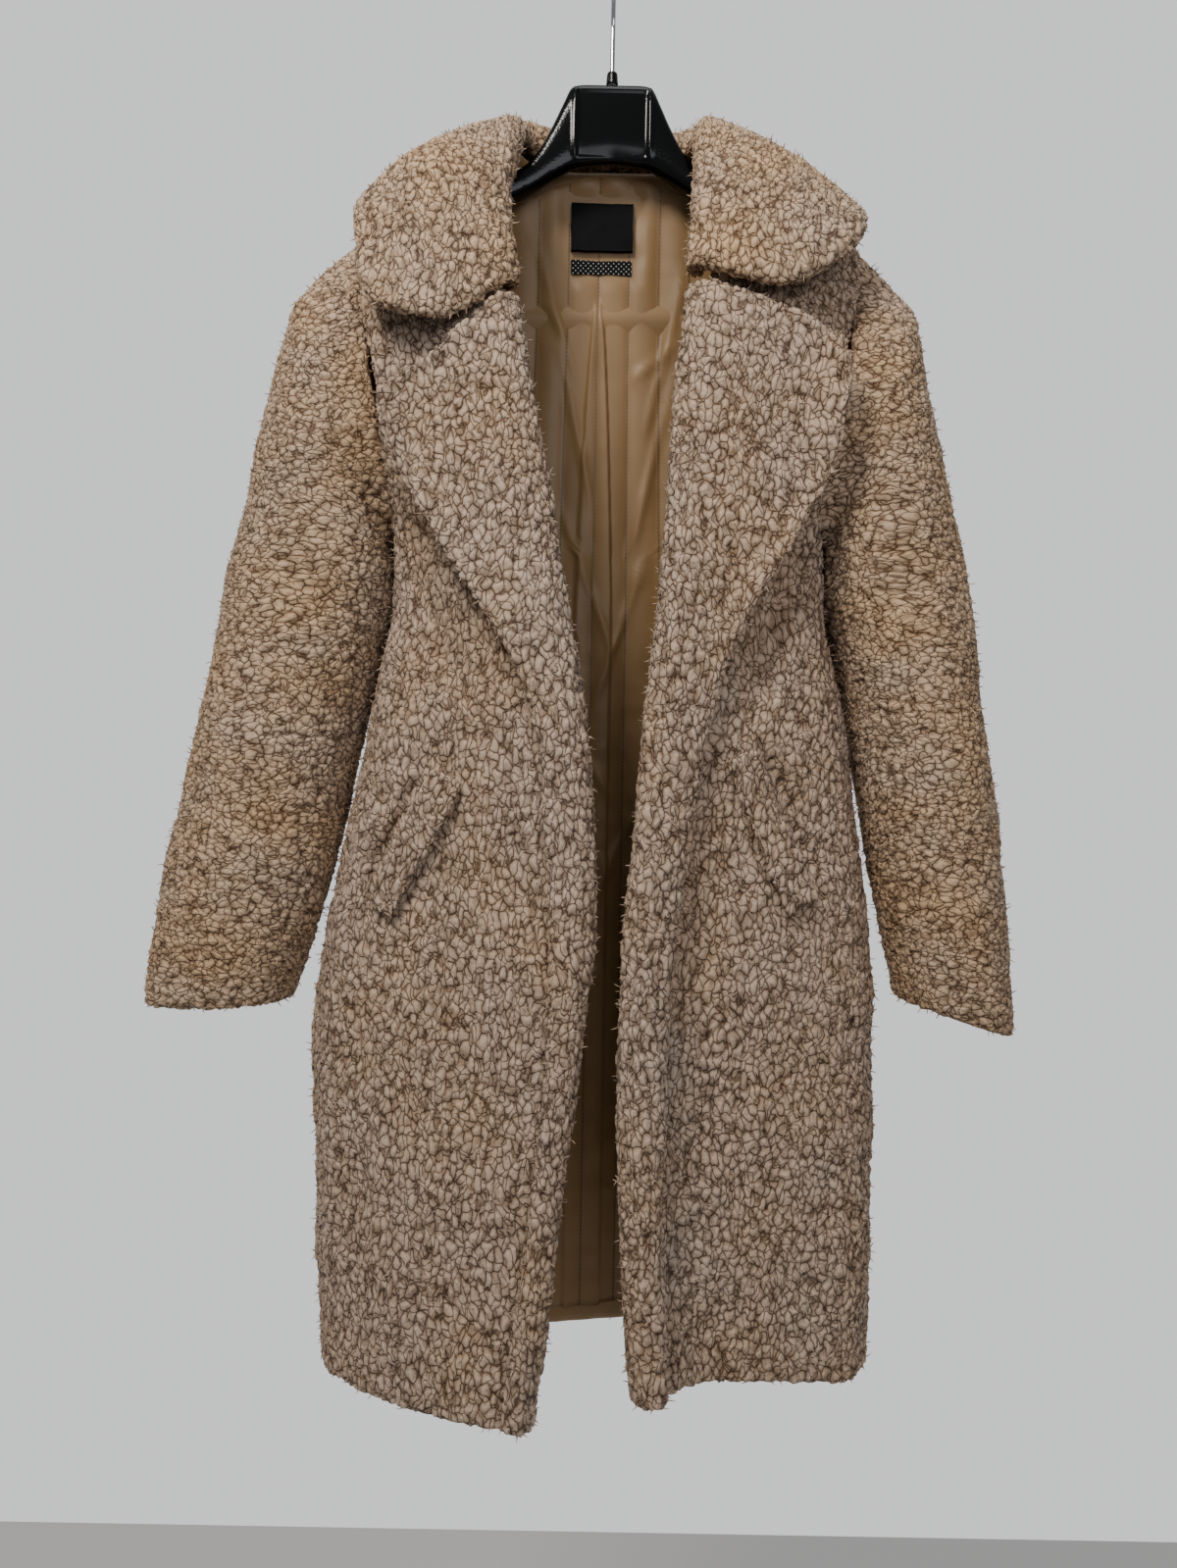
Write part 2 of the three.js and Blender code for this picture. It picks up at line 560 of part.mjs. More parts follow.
// The armhole as a ring: down its back from the shoulder, and up its front.
function armholeRing(sign, rows) {
  const ring = [];
  const count = 2 * armholeRows;
  for (let j = 0; j < count; j += 1) {
    const turn = (Math.PI * j) / armholeRows;
    const z = mix(shoulderTip.z, underarmZ, (1 - Math.cos(turn)) / 2);
    const way = j <= armholeRows ? 1 : -1;
    const row = readTable(rows, "z", z);
    ring.push({
      point: new THREE.Vector3(sign * row.seam, armholeY(z, way), z),
      out: armholeOut(z, way, sign),
      turn,
    });
  }
  return ring;
}

function sleeve(sign, rows, table) {
  const ringAt = armholeRing(sign, rows);
  const grid = [];
  for (let i = 0; i <= sleeveRings; i += 1) {
    const s = i / sleeveRings;
    const row = readTable(table, "s", s);
    grid.push(
      ringAt.map(({ point, turn }) => {
        const [c, n] = [Math.cos(turn), Math.sin(turn)];
        const crease = sleeveCreases.reduce((sum, f) => {
          const near = Math.exp(-(((s - f.s) / f.width) ** 2)) * Math.max(0, Math.cos(turn - f.turn));
          return sum + f.depth * near;
        }, 0);
        const along = (Math.sign(c) * Math.abs(c) ** 0.9 + 1) / 2;
        const x = sign * mix(row.innerX, row.outerX, along);
        const y = row.y + Math.sign(n) * Math.abs(n) ** 0.9 * (row.deep - crease);
        const ringPoint = new THREE.Vector3(x, y, mix(row.innerZ, row.outerZ, along));
        const away = clamp(s / mix(0.07, 0.16, along), 0, 1);
        return point.clone().lerp(ringPoint, away * away * (3 - 2 * away));
      }),
    );
  }
  const inner = shift(grid, sign * seamGap, 0, 0);
  const directions = normalsOf(inner, true, sign > 0);
  ringAt.forEach(({ out }, j) => {
    directions[0][j] = out;
    directions[1][j].lerp(out, 0.95).normalize();
  });
  return wall(inner, movedOut(inner, directions, furWall), true);
}

// Facings with the lapels

// The path of a facing across the front edge at one row: inside, round the edge, then out.
function facingPath(front, row) {
  const edge = edgeOn(front, row.edgeZ);
  const inside = (away) => {
    const x = edge.x + away;
    return new THREE.Vector3(x, depthOn(front.inner, front, x, row.edgeZ) + rolledGap, row.edgeZ);
  };
  const bendRadius = furWall / 2 + rolledGap;
  const bend = (turn) =>
    new THREE.Vector3(
      edge.x - bendRadius * Math.cos(turn),
      edge.y - furWall / 2 - bendRadius * Math.sin(turn),
      mix(row.edgeZ, row.midZ, 0.04 * (1 + Math.sin(turn))),
    );
  const outside = (x, z, lift) =>
    new THREE.Vector3(x, depthOn(front.outer, front, x, z) - rolledGap - lift, z);
  const folded = [bend(-1.3), bend(-0.45), bend(0.45), bend(1.3)];
  const out = [0.16, 0.34, 0.52, 0.7, 0.86, 1].map((t) => {
    const quad = (a, b, c) => {
      const middle = 2 * b - (a + c) / 2;
      return (1 - t) ** 2 * a + 2 * t * (1 - t) * middle + t * t * c;
    };
    const x = quad(edge.x, row.midX, row.outX);
    return outside(x, quad(row.edgeZ, row.midZ, row.outZ), row.lift * t * t);
  });
  const insides = [1, 0.75, 0.5, 0.28, 0.1].map((t) => inside(t * facingInside));
  const path = [...insides, ...folded, ...out];
  return path.map((p) => new THREE.Vector3(front.sign * p.x, p.y, p.z));
}

function facingPiece(front, table) {
  const grid = [];
  for (let i = 0; i <= facingRows; i += 1) {
    const share = i / facingRows;
    const z = mix(table[0].edgeZ, table[table.length - 1].edgeZ, mix(share, share * share, 0.3));
    grid.push(facingPath(front, readTable(table, "edgeZ", z)));
  }
  const directions = normalsOf(grid, false, front.sign > 0);
  const last = grid[0].length - 1;
  const thick = (i, j) => {
    const lapel = clamp((grid[i][0].z + 760) / 120, 0, 1);
    const outerEdge = clamp((j - last + 3) / 3, 0, 1) * mix(0.75, 0.1, lapel);
    const innerEdge = clamp(1 - j / 5, 0, 1) * 0.75;
    return lapelWall * (1 - outerEdge - innerEdge);
  };
  return wall(grid, movedOut(grid, directions, thick));
}

// Collar

function collarPath(sign, row) {
  const points = [
    new THREE.Vector3(row.nx, row.ny, row.nz),
    new THREE.Vector3(row.rx, row.ry, row.rz),
    new THREE.Vector3(row.mx, row.my, row.mz),
    new THREE.Vector3(row.ex, row.ey, row.ez),
  ];
  const path = [];
  for (let j = 0; j <= collarSteps; j += 1) {
    const p = throughPoints(points, j / collarSteps);
    path.push(new THREE.Vector3(sign * p.x, p.y, p.z));
  }
  return path;
}

function collar() {
  const half = (sign, table) => {
    const rows = [];
    for (let i = 0; i <= collarStations; i += 1) {
      rows.push(collarPath(sign, readTable(table, "a", i / collarStations)));
    }
    return rows;
  };
  const grid = [...half(-1, collarRight).reverse(), ...half(1, collarLeft).slice(1)];
  return wall(grid, movedOut(grid, normalsOf(grid, false, true), collarWall));
}

// Pocket welts, laid on the fronts

function pocketWelt(front, pocket) {
  const slope = new THREE.Vector2(pocket.lowX - pocket.topX, pocket.lowZ - pocket.topZ).normalize();
  const grid = [];
  for (let i = 0; i <= welt.along; i += 1) {
    const share = i / welt.along;
    const row = [];
    for (let j = 0; j <= welt.across; j += 1) {
      const away = (welt.wide * j) / welt.across;
      const x = mix(pocket.topX, pocket.lowX, share) + slope.y * away;
      const z = mix(pocket.topZ, pocket.lowZ, share) - slope.x * away;
      const y = depthOn(front.outer, front, x, z) - 2 * seamGap;
      row.push(new THREE.Vector3(front.sign * x, y, z));
    }
    grid.push(row);
  }
  return wall(grid, shift(grid, 0, -welt.thick, 0));
}

// Lining, on the back's inner side: quilted in upright rows, with a box pleat down the middle

function backLining({ inner, directions }) {
  const inward = directions.slice(1).map((row) => row.map((d) => d.clone().negate()));
  const cloth = inner.slice(1).map((row) => row.map((p) => p.clone()));
  const [above, lowest] = cloth.slice(-2);
  lowest.forEach((p, j) => p.lerp(above[j], liningLift / (above[j].z - p.z)));
  const middle = (cloth[0].length - 1) / 2;
  const raised = (i, j) => {
    const column = Math.abs(j - middle);
    const puff = column % 2 === 1 ? quiltPuff : 0;
    const pleat = column <= pleatRise.columns && cloth[i][j].z < pleatRise.topZ ? pleatRise.height : 0;
    return liningWall + seamGap + puff + pleat;
  };
  const rows = narrowed(cloth, [0, cloth[0].length - 1], 0.8);
  return wall(movedOut(rows, inward, seamGap), movedOut(rows, inward, raised));
}

function label({ x, wide, topZ, lowZ }) {
  const grid = [0, 0.5, 1].map((down) =>
    [-0.5, -0.25, 0, 0.25, 0.5].map((t) => {
      const z = mix(topZ, lowZ, down);
      const lining = readTable(backDepth, "z", z).y - 2 * seamGap - liningWall - quiltPuff;
      return new THREE.Vector3(x + wide * t, lining, z);
    }),
  );
  return wall(grid, shift(grid, 0, -labelWall, 0));
}

// Hanger

function hangerBody() {
  const ring = (x, row) => {
    const points = [];
    for (let j = 0; j < hangerPoints; j += 1) {
      const turn = (2 * Math.PI * (j + 0.5)) / hangerPoints;
      const boxy = (value) => Math.sign(value) * Math.abs(value) ** 0.55;
      const forward = -6 * clamp((Math.abs(x) - 60) / 130, 0, 1);
      points.push(
        new THREE.Vector3(
          x,
          forward + row.half * boxy(Math.cos(turn)),
          mix(row.low, row.top, (boxy(Math.sin(turn)) + 1) / 2),
        ),
      );
    }
    return points;
  };
  const left = hangerSections.map((row) => ring(row.x, row));
  const right = hangerSections.slice(1).map((row) => ring(-row.x, row));
  return lofted([...right.reverse(), ...left]);
}

// A round piece about the Z axis from its radius at each height.
function turned(profile) {
  return new THREE.LatheGeometry(
    profile.map(([radius, z]) => new THREE.Vector2(radius, z)),
    12,
  ).rotateX(Math.PI / 2);
}

function hangerFerrule() {
  const inner = hook.wire + seamGap;
  return turned([
    [inner, ferrule.low],
    [ferrule.neck, ferrule.low],
    [ferrule.radius, ferrule.top],
    [inner, ferrule.top],
    [inner, ferrule.low],
  ]);
}

// The hook's wire: straight up out of the ferrule, forward, and over to the back.
class HookLine extends THREE.Curve {
  constructor() {
    super();
    const centreZ = -(hook.bend - hook.wire);
    const points = [
      new THREE.Vector3(0, 0, hook.neckLow),
      new THREE.Vector3(0, 0, (hook.neckLow + hook.neckTop) / 2),
      new THREE.Vector3(0, 0, hook.neckTop),
      new THREE.Vector3(0, -7, hook.neckTop + 10),
    ];
    const steps = 14;
    for (let i = 0; i <= steps; i += 1) {
      const turn = mix(-0.5, Math.PI + 0.55, i / steps);
      points.push(new THREE.Vector3(0, -hook.bend * Math.cos(turn), centreZ + hook.bend * Math.sin(turn)));
    }
    this.line = new THREE.CatmullRomCurve3(points, false, "centripetal");
  }

  getPoint(t, target = new THREE.Vector3()) {
    return target.copy(this.line.getPoint(t));
  }
}

function hangerHook() {
  const section = new THREE.Shape();
  const sides = 8;
  for (let i = 0; i < sides; i += 1) {
    const turn = (2 * Math.PI * i) / sides;
    const [x, y] = [hook.wire * Math.cos(turn), hook.wire * Math.sin(turn)];
    if (i === 0) section.moveTo(x, y);
    else section.lineTo(x, y);
  }
  return new THREE.ExtrudeGeometry(section, { steps: 32, extrudePath: new HookLine() });
}

// Materials

const curlyPile = new THREE.MeshStandardMaterial({ color: 0xb1947a, roughness: 0.95, metalness: 0 });
const satinLining = new THREE.MeshStandardMaterial({ color: 0xb5926b, roughness: 0.55, metalness: 0 });
const blackWeave = new THREE.MeshStandardMaterial({ color: 0x16171b, roughness: 0.7, metalness: 0 });
const blackPlastic = new THREE.MeshStandardMaterial({ color: 0x141518, roughness: 0.28, metalness: 0 });
const chrome = new THREE.MeshStandardMaterial({ color: 0xd6d7d8, roughness: 0.14, metalness: 1 });

const coat = new THREE.Group();
function add(name, geometry, material) {
  const mesh = new THREE.Mesh(geometry, material);
  mesh.name = name;
  coat.add(mesh);
}

const back = backPanel();
add("back", wall(back.inner, back.outer), curlyPile);
add("collar", collar(), curlyPile);
const sides = [
  ["left", 1, sideLeft, sleeveLeft, facingLeft, pocketLeft],
  ["right", -1, sideRight, sleeveRight, facingRight, pocketRight],
];
for (const [name, sign, rows, sleeveTable, facingTable, pocket] of sides) {
  const front = frontPanel(sign, rows);
  add(`front_${name}`, wall(front.inner, front.outer), curlyPile);
  add(`sleeve_${name}`, sleeve(sign, rows, sleeveTable), curlyPile);
  add(`facing_${name}`, facingPiece(front, facingTable), curlyPile);
  add(`pocket_welt_${name}`, pocketWelt(front, pocket), curlyPile);
}
add("lining_back", backLining(back), satinLining);
for (const row of labels) add(row.name, label(row), blackWeave);
add("hanger_body", hangerBody(), blackPlastic);
add("hanger_ferrule", hangerFerrule(), blackPlastic);
add("hanger_hook", hangerHook(), chrome);

export default coat;
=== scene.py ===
# %% [markdown]
# A long coat of curly faux fur hangs open on a broad plastic hanger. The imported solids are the
# coat's true form: each sewn piece is a wall as thick as its pile. This lesson keeps that form and
# gives every wall its curls, its colours and its edges. The lining, the labels and the hanger are
# then built as surfaces of their own, and all of it is lit as in a studio.

# %% Load the frame
import math

import bpy
import numpy as np
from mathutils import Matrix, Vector


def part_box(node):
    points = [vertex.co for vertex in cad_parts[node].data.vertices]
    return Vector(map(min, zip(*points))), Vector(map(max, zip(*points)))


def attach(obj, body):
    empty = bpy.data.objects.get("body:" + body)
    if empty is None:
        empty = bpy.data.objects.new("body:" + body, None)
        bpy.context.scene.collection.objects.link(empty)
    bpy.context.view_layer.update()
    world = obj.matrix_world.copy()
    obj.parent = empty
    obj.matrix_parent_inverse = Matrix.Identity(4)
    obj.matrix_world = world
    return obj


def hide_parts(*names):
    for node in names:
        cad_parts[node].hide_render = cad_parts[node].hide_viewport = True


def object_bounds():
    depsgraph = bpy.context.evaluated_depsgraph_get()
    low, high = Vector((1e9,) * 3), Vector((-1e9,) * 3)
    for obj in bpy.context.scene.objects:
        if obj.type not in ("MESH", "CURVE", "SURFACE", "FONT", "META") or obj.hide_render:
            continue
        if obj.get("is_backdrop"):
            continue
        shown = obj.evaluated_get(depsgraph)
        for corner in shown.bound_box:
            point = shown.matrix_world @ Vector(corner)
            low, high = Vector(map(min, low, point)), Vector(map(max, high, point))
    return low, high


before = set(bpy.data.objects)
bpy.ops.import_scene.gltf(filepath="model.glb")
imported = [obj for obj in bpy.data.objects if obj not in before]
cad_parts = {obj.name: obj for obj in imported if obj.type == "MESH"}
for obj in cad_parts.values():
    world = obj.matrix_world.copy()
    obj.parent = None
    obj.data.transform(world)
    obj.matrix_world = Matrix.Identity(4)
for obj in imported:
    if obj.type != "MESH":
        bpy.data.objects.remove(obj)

MM = 0.001
cad_low, cad_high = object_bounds()
print("solids reach from", [round(v, 3) for v in cad_low], "to", [round(v, 3) for v in cad_high])

# %% [markdown]
# Colours are easiest to name as the hex values a paint program shows, but a shader works with
# light, so one function turns a hex value to linear numbers. A second one adds a shader node with
# all its settings in one line: a plain value is set on it, and another node's socket is joined.

# %% Helpers for colours and nodes
def linear(hex_value):
    """sRGB to linear light: a part below 0.04045 is divided by 12.92, the rest follow a 2.4 power."""
    parts = [int(hex_value[i:i + 2], 16) / 255 for i in (1, 3, 5)]
    return tuple(c / 12.92 if c <= 0.04045 else ((c + 0.055) / 1.055) ** 2.4 for c in parts) + (1.0,)


def node(tree, kind, settings):
    """Adds one node. Each setting is a property of it, or the number or name of an input socket."""
    made = tree.nodes.new(kind)
    for name, value in settings.items():
        if isinstance(name, str) and name not in made.inputs:
            setattr(made, name, value)
            continue
        socket = made.inputs[name]
        if isinstance(name, str):
            socket = next(s for s in made.inputs if s.name == name and s.enabled)
        if isinstance(value, bpy.types.NodeSocket):
            tree.links.new(value, socket)
        else:
            socket.default_value = value
    return made


def new_material(name, settings):
    """A material of one Principled shader, with its fixed values set on its own sockets."""
    material = bpy.data.materials.new(name)
    material.use_nodes = True
    tree = material.node_tree
    tree.nodes.clear()
    shader = node(tree, "ShaderNodeBsdfPrincipled", settings)
    node(tree, "ShaderNodeOutputMaterial", {"Surface": shader.outputs["BSDF"]})
    return material, tree, shader


# %% [markdown]
# Sherpa pile is acrylic yarn knitted into a backing and tumbled until it curls into small knots.
# Thin cracks lie in shade between the knots, and each knot has little coils on its crown. Real strands
# by the million would be lost in an export. Instead one cell pattern makes the knots everywhere:
# the mesh is raised by it, and the shader draws the same cells finer than a mesh could, with
# painted shade in the cracks and down the knots' sides and painted light on their crowns. Both read
# the place of a point in the pattern from the mesh itself, so that cracks and valleys agree.

# %% The curly pile's material
# The width of a knot, the bends in its outline and how far they sway it, the patches of richer and
# paler colour, the length over which a crack changes its width, and a strand of the yarn.
CURL_MM = 5.2
WORM_MM = 6.0
WORM_REACH_MM = 6.5
PATCH_MM = 60.0
UNEVEN_MM = 7.0
STRAND_MM = 1.8
SPREAD = 0.9
# What the distance to a crack, the strands and a knot's dome each add to the height.
CRACK_SHARE, STRAND_SHARE, DOME_SHARE = 0.34, 0.6, 0.44
RELIEF_MM = 2.0


def curl_cells(tree, place):
    """Settings of the cell pattern: a soft noise sways the places, so that the knots bend like worms."""
    wander = node(tree, "ShaderNodeTexNoise", {
        "Vector": place, "Scale": 1 / (WORM_MM * MM), "Detail": 0.0})
    sway = node(tree, "ShaderNodeVectorMath", {
        "operation": "MULTIPLY_ADD", 0: wander.outputs["Color"], 1: (WORM_REACH_MM * MM,) * 3, 2: place})
    return {"Vector": sway.outputs["Vector"], "Scale": 1 / (CURL_MM * MM), "Randomness": SPREAD}


def curly_pile(name, crack, shade, middle, crown):
    """Acrylic sherpa pile: matt, with painted shade in its cracks and painted light towards the crown of
    each knot.
    """
    material, tree, shader = new_material(name, {
        "Roughness": 0.95, "Specular IOR Level": 0.12, "Sheen Weight": 0.06, "Sheen Roughness": 0.6})
    place = node(tree, "ShaderNodeAttribute", {"attribute_name": "curl_place"}).outputs["Vector"]
    cells = curl_cells(tree, place)
    edge = node(tree, "ShaderNodeTexVoronoi", {"feature": "DISTANCE_TO_EDGE", **cells})
    knot = node(tree, "ShaderNodeTexVoronoi", cells)
    strand, patch, uneven = [
        node(tree, "ShaderNodeTexNoise", {"Vector": place, "Scale": 1 / (size * MM), "Detail": detail})
        for size, detail in ((STRAND_MM, 3.0), (PATCH_MM, 2.0), (UNEVEN_MM, 1.0))]
    crack_width = node(tree, "ShaderNodeMapRange", {
        "Value": uneven.outputs["Fac"], "From Min": 0.36, "From Max": 0.62, "To Min": 0.05, "To Max": 0.14})
    gap = node(tree, "ShaderNodeMapRange", {
        "interpolation_type": "SMOOTHSTEP", "Value": edge.outputs["Distance"],
        "From Max": crack_width.outputs[0]})
    dome = node(tree, "ShaderNodeMapRange", {
        "Value": knot.outputs["Distance"], "From Min": 0.1, "From Max": 0.75,
        "To Min": DOME_SHARE, "To Max": 0.0})
    raised = node(tree, "ShaderNodeMath", {
        "operation": "MULTIPLY_ADD", 0: gap.outputs[0], 1: CRACK_SHARE, 2: dome.outputs[0]})
    height = node(tree, "ShaderNodeMath", {
        "operation": "MULTIPLY_ADD", 0: strand.outputs["Fac"], 1: STRAND_SHARE, 2: raised.outputs[0]})
    # The height also picks the colour: painted shade in the cracks and down the knots' sides, painted light
    # on their domed crowns.
    shade_and_light_ramp = node(tree, "ShaderNodeValToRGB", {"Fac": height.outputs[0]})
    stops = shade_and_light_ramp.color_ramp.elements
    stops[0].position, stops[0].color = 0.25, linear(crack)
    stops[1].position, stops[1].color = 1.0, linear(crown)
    for position, colour in ((0.5, shade), (0.75, middle)):
        stops.new(position).color = linear(colour)
    tone = node(tree, "ShaderNodeSeparateColor", {"Color": knot.outputs["Color"]})
    own = node(tree, "ShaderNodeMapRange", {"Value": tone.outputs[0], "To Min": 0.95, "To Max": 1.05})
    warm = node(tree, "ShaderNodeMapRange", {
        "Value": patch.outputs["Fac"], "From Min": 0.35, "From Max": 0.65, "To Min": 0.9, "To Max": 1.1})
    tinted = node(tree, "ShaderNodeHueSaturation", {
        "Color": shade_and_light_ramp.outputs["Color"], "Value": own.outputs[0], "Saturation": warm.outputs[0]})
    bump = node(tree, "ShaderNodeBump", {
        "Strength": 0.9, "Distance": RELIEF_MM * MM, "Height": height.outputs[0]})
    tree.links.new(tinted.outputs["Color"], shader.inputs["Base Color"])
    tree.links.new(bump.outputs["Normal"], shader.inputs["Normal"])
    return material


# Each pile's four colours run from painted shade in the cracks, through the sides and middle of a knot, to
# painted light on the crowns.
pile_warm = curly_pile("acrylic_sherpa_pile_warm", "#3f2d1f", "#765e48", "#9c8369", "#c3a789")
pile_grey = curly_pile("acrylic_sherpa_pile_grey", "#3d2d21", "#75604d", "#99836e", "#bda690")

# %% [markdown]
# The lining is a polyester satin: its threads run mostly one way, so it shines softly along its
# folds. Upright rows of stitches quilt it. The rows are valleys in the mesh. The mesh also carries a
# number that grows by one from row to row and is a half on each row, and the material draws the
# stitches there. The weave is drawn at a millimetre, because real threads are too fine for a picture.

# %% The satin's material
STITCH_MM = 3.2
WEAVE_MM = 1.1
CLOUD_MM = 45.0


def wave_scale(pitch_mm):
    """The wave texture makes 20 x scale / (2 pi) waves in a metre, so this scale gives the pitch."""
    return 2 * math.pi / (20 * pitch_mm * MM)


def satin(name, colour, shadow):
    """Polyester satin: smooth, with a soft broad gloss, a faint weave and small dark stitches."""
    material, tree, shader = new_material(name, {
        "Roughness": 0.45, "Specular IOR Level": 0.3, "Sheen Weight": 0.1, "Sheen Tint": linear("#e8d2b4")})
    place = node(tree, "ShaderNodeTexCoord", {}).outputs["Object"]
    upright = node(tree, "ShaderNodeMapping", {"Vector": place, "Scale": (1.0, 1.0, 0.12)})
    weave = node(tree, "ShaderNodeTexNoise", {"Vector": upright.outputs[0], "Scale": 1 / (WEAVE_MM * MM)})
    cloud = node(tree, "ShaderNodeTexNoise", {"Vector": place, "Scale": 1 / (CLOUD_MM * MM), "Detail": 2.0})
    cloth = node(tree, "ShaderNodeMix", {
        "data_type": "RGBA", "Factor": cloud.outputs["Fac"], "A": linear(shadow), "B": linear(colour)})
    steps = node(tree, "ShaderNodeTexWave", {
        "Vector": place, "bands_direction": "Z", "Scale": wave_scale(STITCH_MM)})
    across = node(tree, "ShaderNodeAttribute", {"attribute_name": "quilt_across"}).outputs["Fac"]
    folded = node(tree, "ShaderNodeMath", {"operation": "PINGPONG", 0: across, 1: 0.5})
    row = node(tree, "ShaderNodeMapRange", {
        "interpolation_type": "SMOOTHSTEP", "Value": folded.outputs[0], "From Min": 0.45, "From Max": 0.5})
    thread = node(tree, "ShaderNodeMath", {
        "operation": "MULTIPLY_ADD", 0: steps.outputs["Fac"], 1: 0.5, 2: 0.4})
    stitch = node(tree, "ShaderNodeMath", {
        "operation": "MULTIPLY", 0: row.outputs[0], 1: thread.outputs[0]})
    sewn = node(tree, "ShaderNodeMix", {
        "data_type": "RGBA", "Factor": stitch.outputs[0], "A": cloth.outputs[2], "B": linear("#4a3828")})
    bump = node(tree, "ShaderNodeBump", {
        "Strength": 0.12, "Distance": 0.3 * MM, "Height": weave.outputs["Fac"]})
    tree.links.new(sewn.outputs[2], shader.inputs["Base Color"])
    tree.links.new(bump.outputs["Normal"], shader.inputs["Normal"])
    return material


camel_satin = satin("polyester_satin_camel", "#92764f", "#7d6140")

# %% [markdown]
# Blender hands out a mesh's values as long lists, and numpy takes them over whole. A few small
# functions read them and put them back, and one more lets a finished piece join the coat.

# %% Helpers for meshes
def values_of(items, name, width=1, kind=np.float32):
    """One value of every item of a mesh, in rows where each has more than one number."""
    values = np.empty(len(items) * width, dtype=kind)
    items.foreach_get(name, values)
    return values.reshape(-1, width) if width > 1 else values


def coordinates(mesh):
    """The vertices of a mesh as rows of x, y and z."""
    return values_of(mesh.vertices, "co", 3).astype(float)


def vertex_normals(mesh):
    """The way each vertex faces, as unit rows."""
    return values_of(mesh.vertex_normals, "vector", 3).astype(float)


def set_coordinates(mesh, points):
    """Puts rows of x, y and z back into the mesh."""
    mesh.vertices.foreach_set("co", points.reshape(-1))
    mesh.update()


def store(mesh, name, values):
    """Keeps a number, or a row of three, for every vertex of the mesh under this name."""
    kind, part = ("FLOAT_VECTOR", "vector") if values.ndim == 2 else ("FLOAT", "value")
    layer = mesh.attributes.new(name, kind, "POINT")
    layer.data.foreach_set(part, values.astype(np.float32).reshape(-1))


def smooth_shaded(mesh):
    """Marks every face as smooth."""
    mesh.polygons.foreach_set("use_smooth", np.ones(len(mesh.polygons), dtype=bool))
    return mesh


def show(made):
    """Puts an object in the scene and lets it ride with the coat, which is one body."""
    bpy.context.scene.collection.objects.link(made)
    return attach(made, "root")


# %% [markdown]
# A wall of pile is taken from its solid. The solid's mesh is loose triangles, so a copy is merged
# first. A voxel remesh then lays an even net of small faces over it, which long thin triangles
# could never carry curls on, and closes it for certain. Neighbour averaging rounds the wall's cut
# edges, as pile does. All of it is done on whole arrays.

# %% From a solid to an even net
VOXEL_MM = 3.2
SAME_PLACE_MM = 0.001


def merged_copy(name):
    """The node's mesh as one closed surface: points that lie on each other become one."""
    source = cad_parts[name].data
    corners = values_of(source.loops, "vertex_index", kind=np.int32)
    rounded = np.round(coordinates(source) / (SAME_PLACE_MM * MM)).astype(np.int64)
    kept, index = np.unique(rounded, axis=0, return_inverse=True)
    mesh = bpy.data.meshes.new(name + "_merged")
    triangles = index.reshape(-1)[corners].reshape(-1, 3).tolist()
    mesh.from_pydata(kept * (SAME_PLACE_MM * MM), [], triangles)
    return mesh


def through_modifier(mesh, kind, settings):
    """The mesh after one modifier, which a helper object carries and which is then taken away."""
    helper = bpy.data.objects.new("helper", mesh)
    bpy.context.scene.collection.objects.link(helper)
    modifier = helper.modifiers.new("change", kind)
    for name, value in settings.items():
        setattr(modifier, name, value)
    bpy.context.view_layer.update()
    evaluated = helper.evaluated_get(bpy.context.evaluated_depsgraph_get())
    changed = bpy.data.meshes.new_from_object(evaluated)
    bpy.data.objects.remove(helper)
    return changed


def even_net(name, voxel_mm):
    """A voxel remesh of the node: every face of it is about voxel_mm wide."""
    settings = {"mode": "VOXEL", "voxel_size": voxel_mm * MM, "adaptivity": 0.0}
    return through_modifier(merged_copy(name), "REMESH", settings)


def averaged(mesh, values, turns):
    """Each turn replaces a row by the mean of its neighbours along the mesh's edges and itself."""
    a, b = values_of(mesh.edges, "vertices", 2, np.int32).T
    count = np.bincount(a, minlength=len(values)) + np.bincount(b, minlength=len(values)) + 1
    for _ in range(turns):
        sums = [np.bincount(a, column[b], len(values)) + np.bincount(b, column[a], len(values))
                for column in values.T]
        values = (values + np.stack(sums, axis=1)) / count[:, None]
    return values


# %% [markdown]
# Cloth hangs in soft shapes, and these come from three kinds of function: a step without a corner,
# a groove along a line that fades out at its ends, and a noise that is the same at every run.

# %% Soft steps, lines and noise
SLAB_MM = 20
# Large odd numbers, which scatter the heights at neighbouring corners of the noise's lattice.
CELL_KEYS = np.array([73856093, 19349663, 83492791], dtype=np.uint64)
FIRST_KEY, SECOND_KEY, SEED_KEY = np.uint64(2654435761), np.uint64(2246822519), 7919
LATTICE_START, TOP_HEIGHT = 2048.0, 0xFFFFFF


def binned(keys, values, step, pick):
    """Groups values by their keys in steps, and picks one of each group, such as the largest."""
    cell = np.round(keys / step).astype(int)
    found = np.unique(cell)
    return found * step, np.array([pick(values[cell == c]) for c in found])


def eased(value, width):
    """A smooth step from 0 to 1 as value passes from -width/2 to width/2."""
    t = np.clip(value / width + 0.5, 0, 1)
    return t * t * (3 - 2 * t)


def near_line(x, z, ends, wide):
    """1 on the line between two points and less beside it and past its ends.

    It is e to the minus (distance / wide) squared, times e to the minus ((share - 0.5) / 0.5) to the
    sixth, where the share is how far along the line a point lies. The ends are in mm, x before z.
    """
    a, b = np.array(ends[:2]) * MM, np.array(ends[2:]) * MM
    reach = b - a
    along = ((x - a[0]) * reach[0] + (z - a[1]) * reach[1]) / (reach ** 2).sum()
    off = ((x - a[0]) * reach[1] - (z - a[1]) * reach[0]) / np.linalg.norm(reach)
    return np.exp(-(off / wide) ** 2) * np.exp(-((along - 0.5) / 0.5) ** 6)


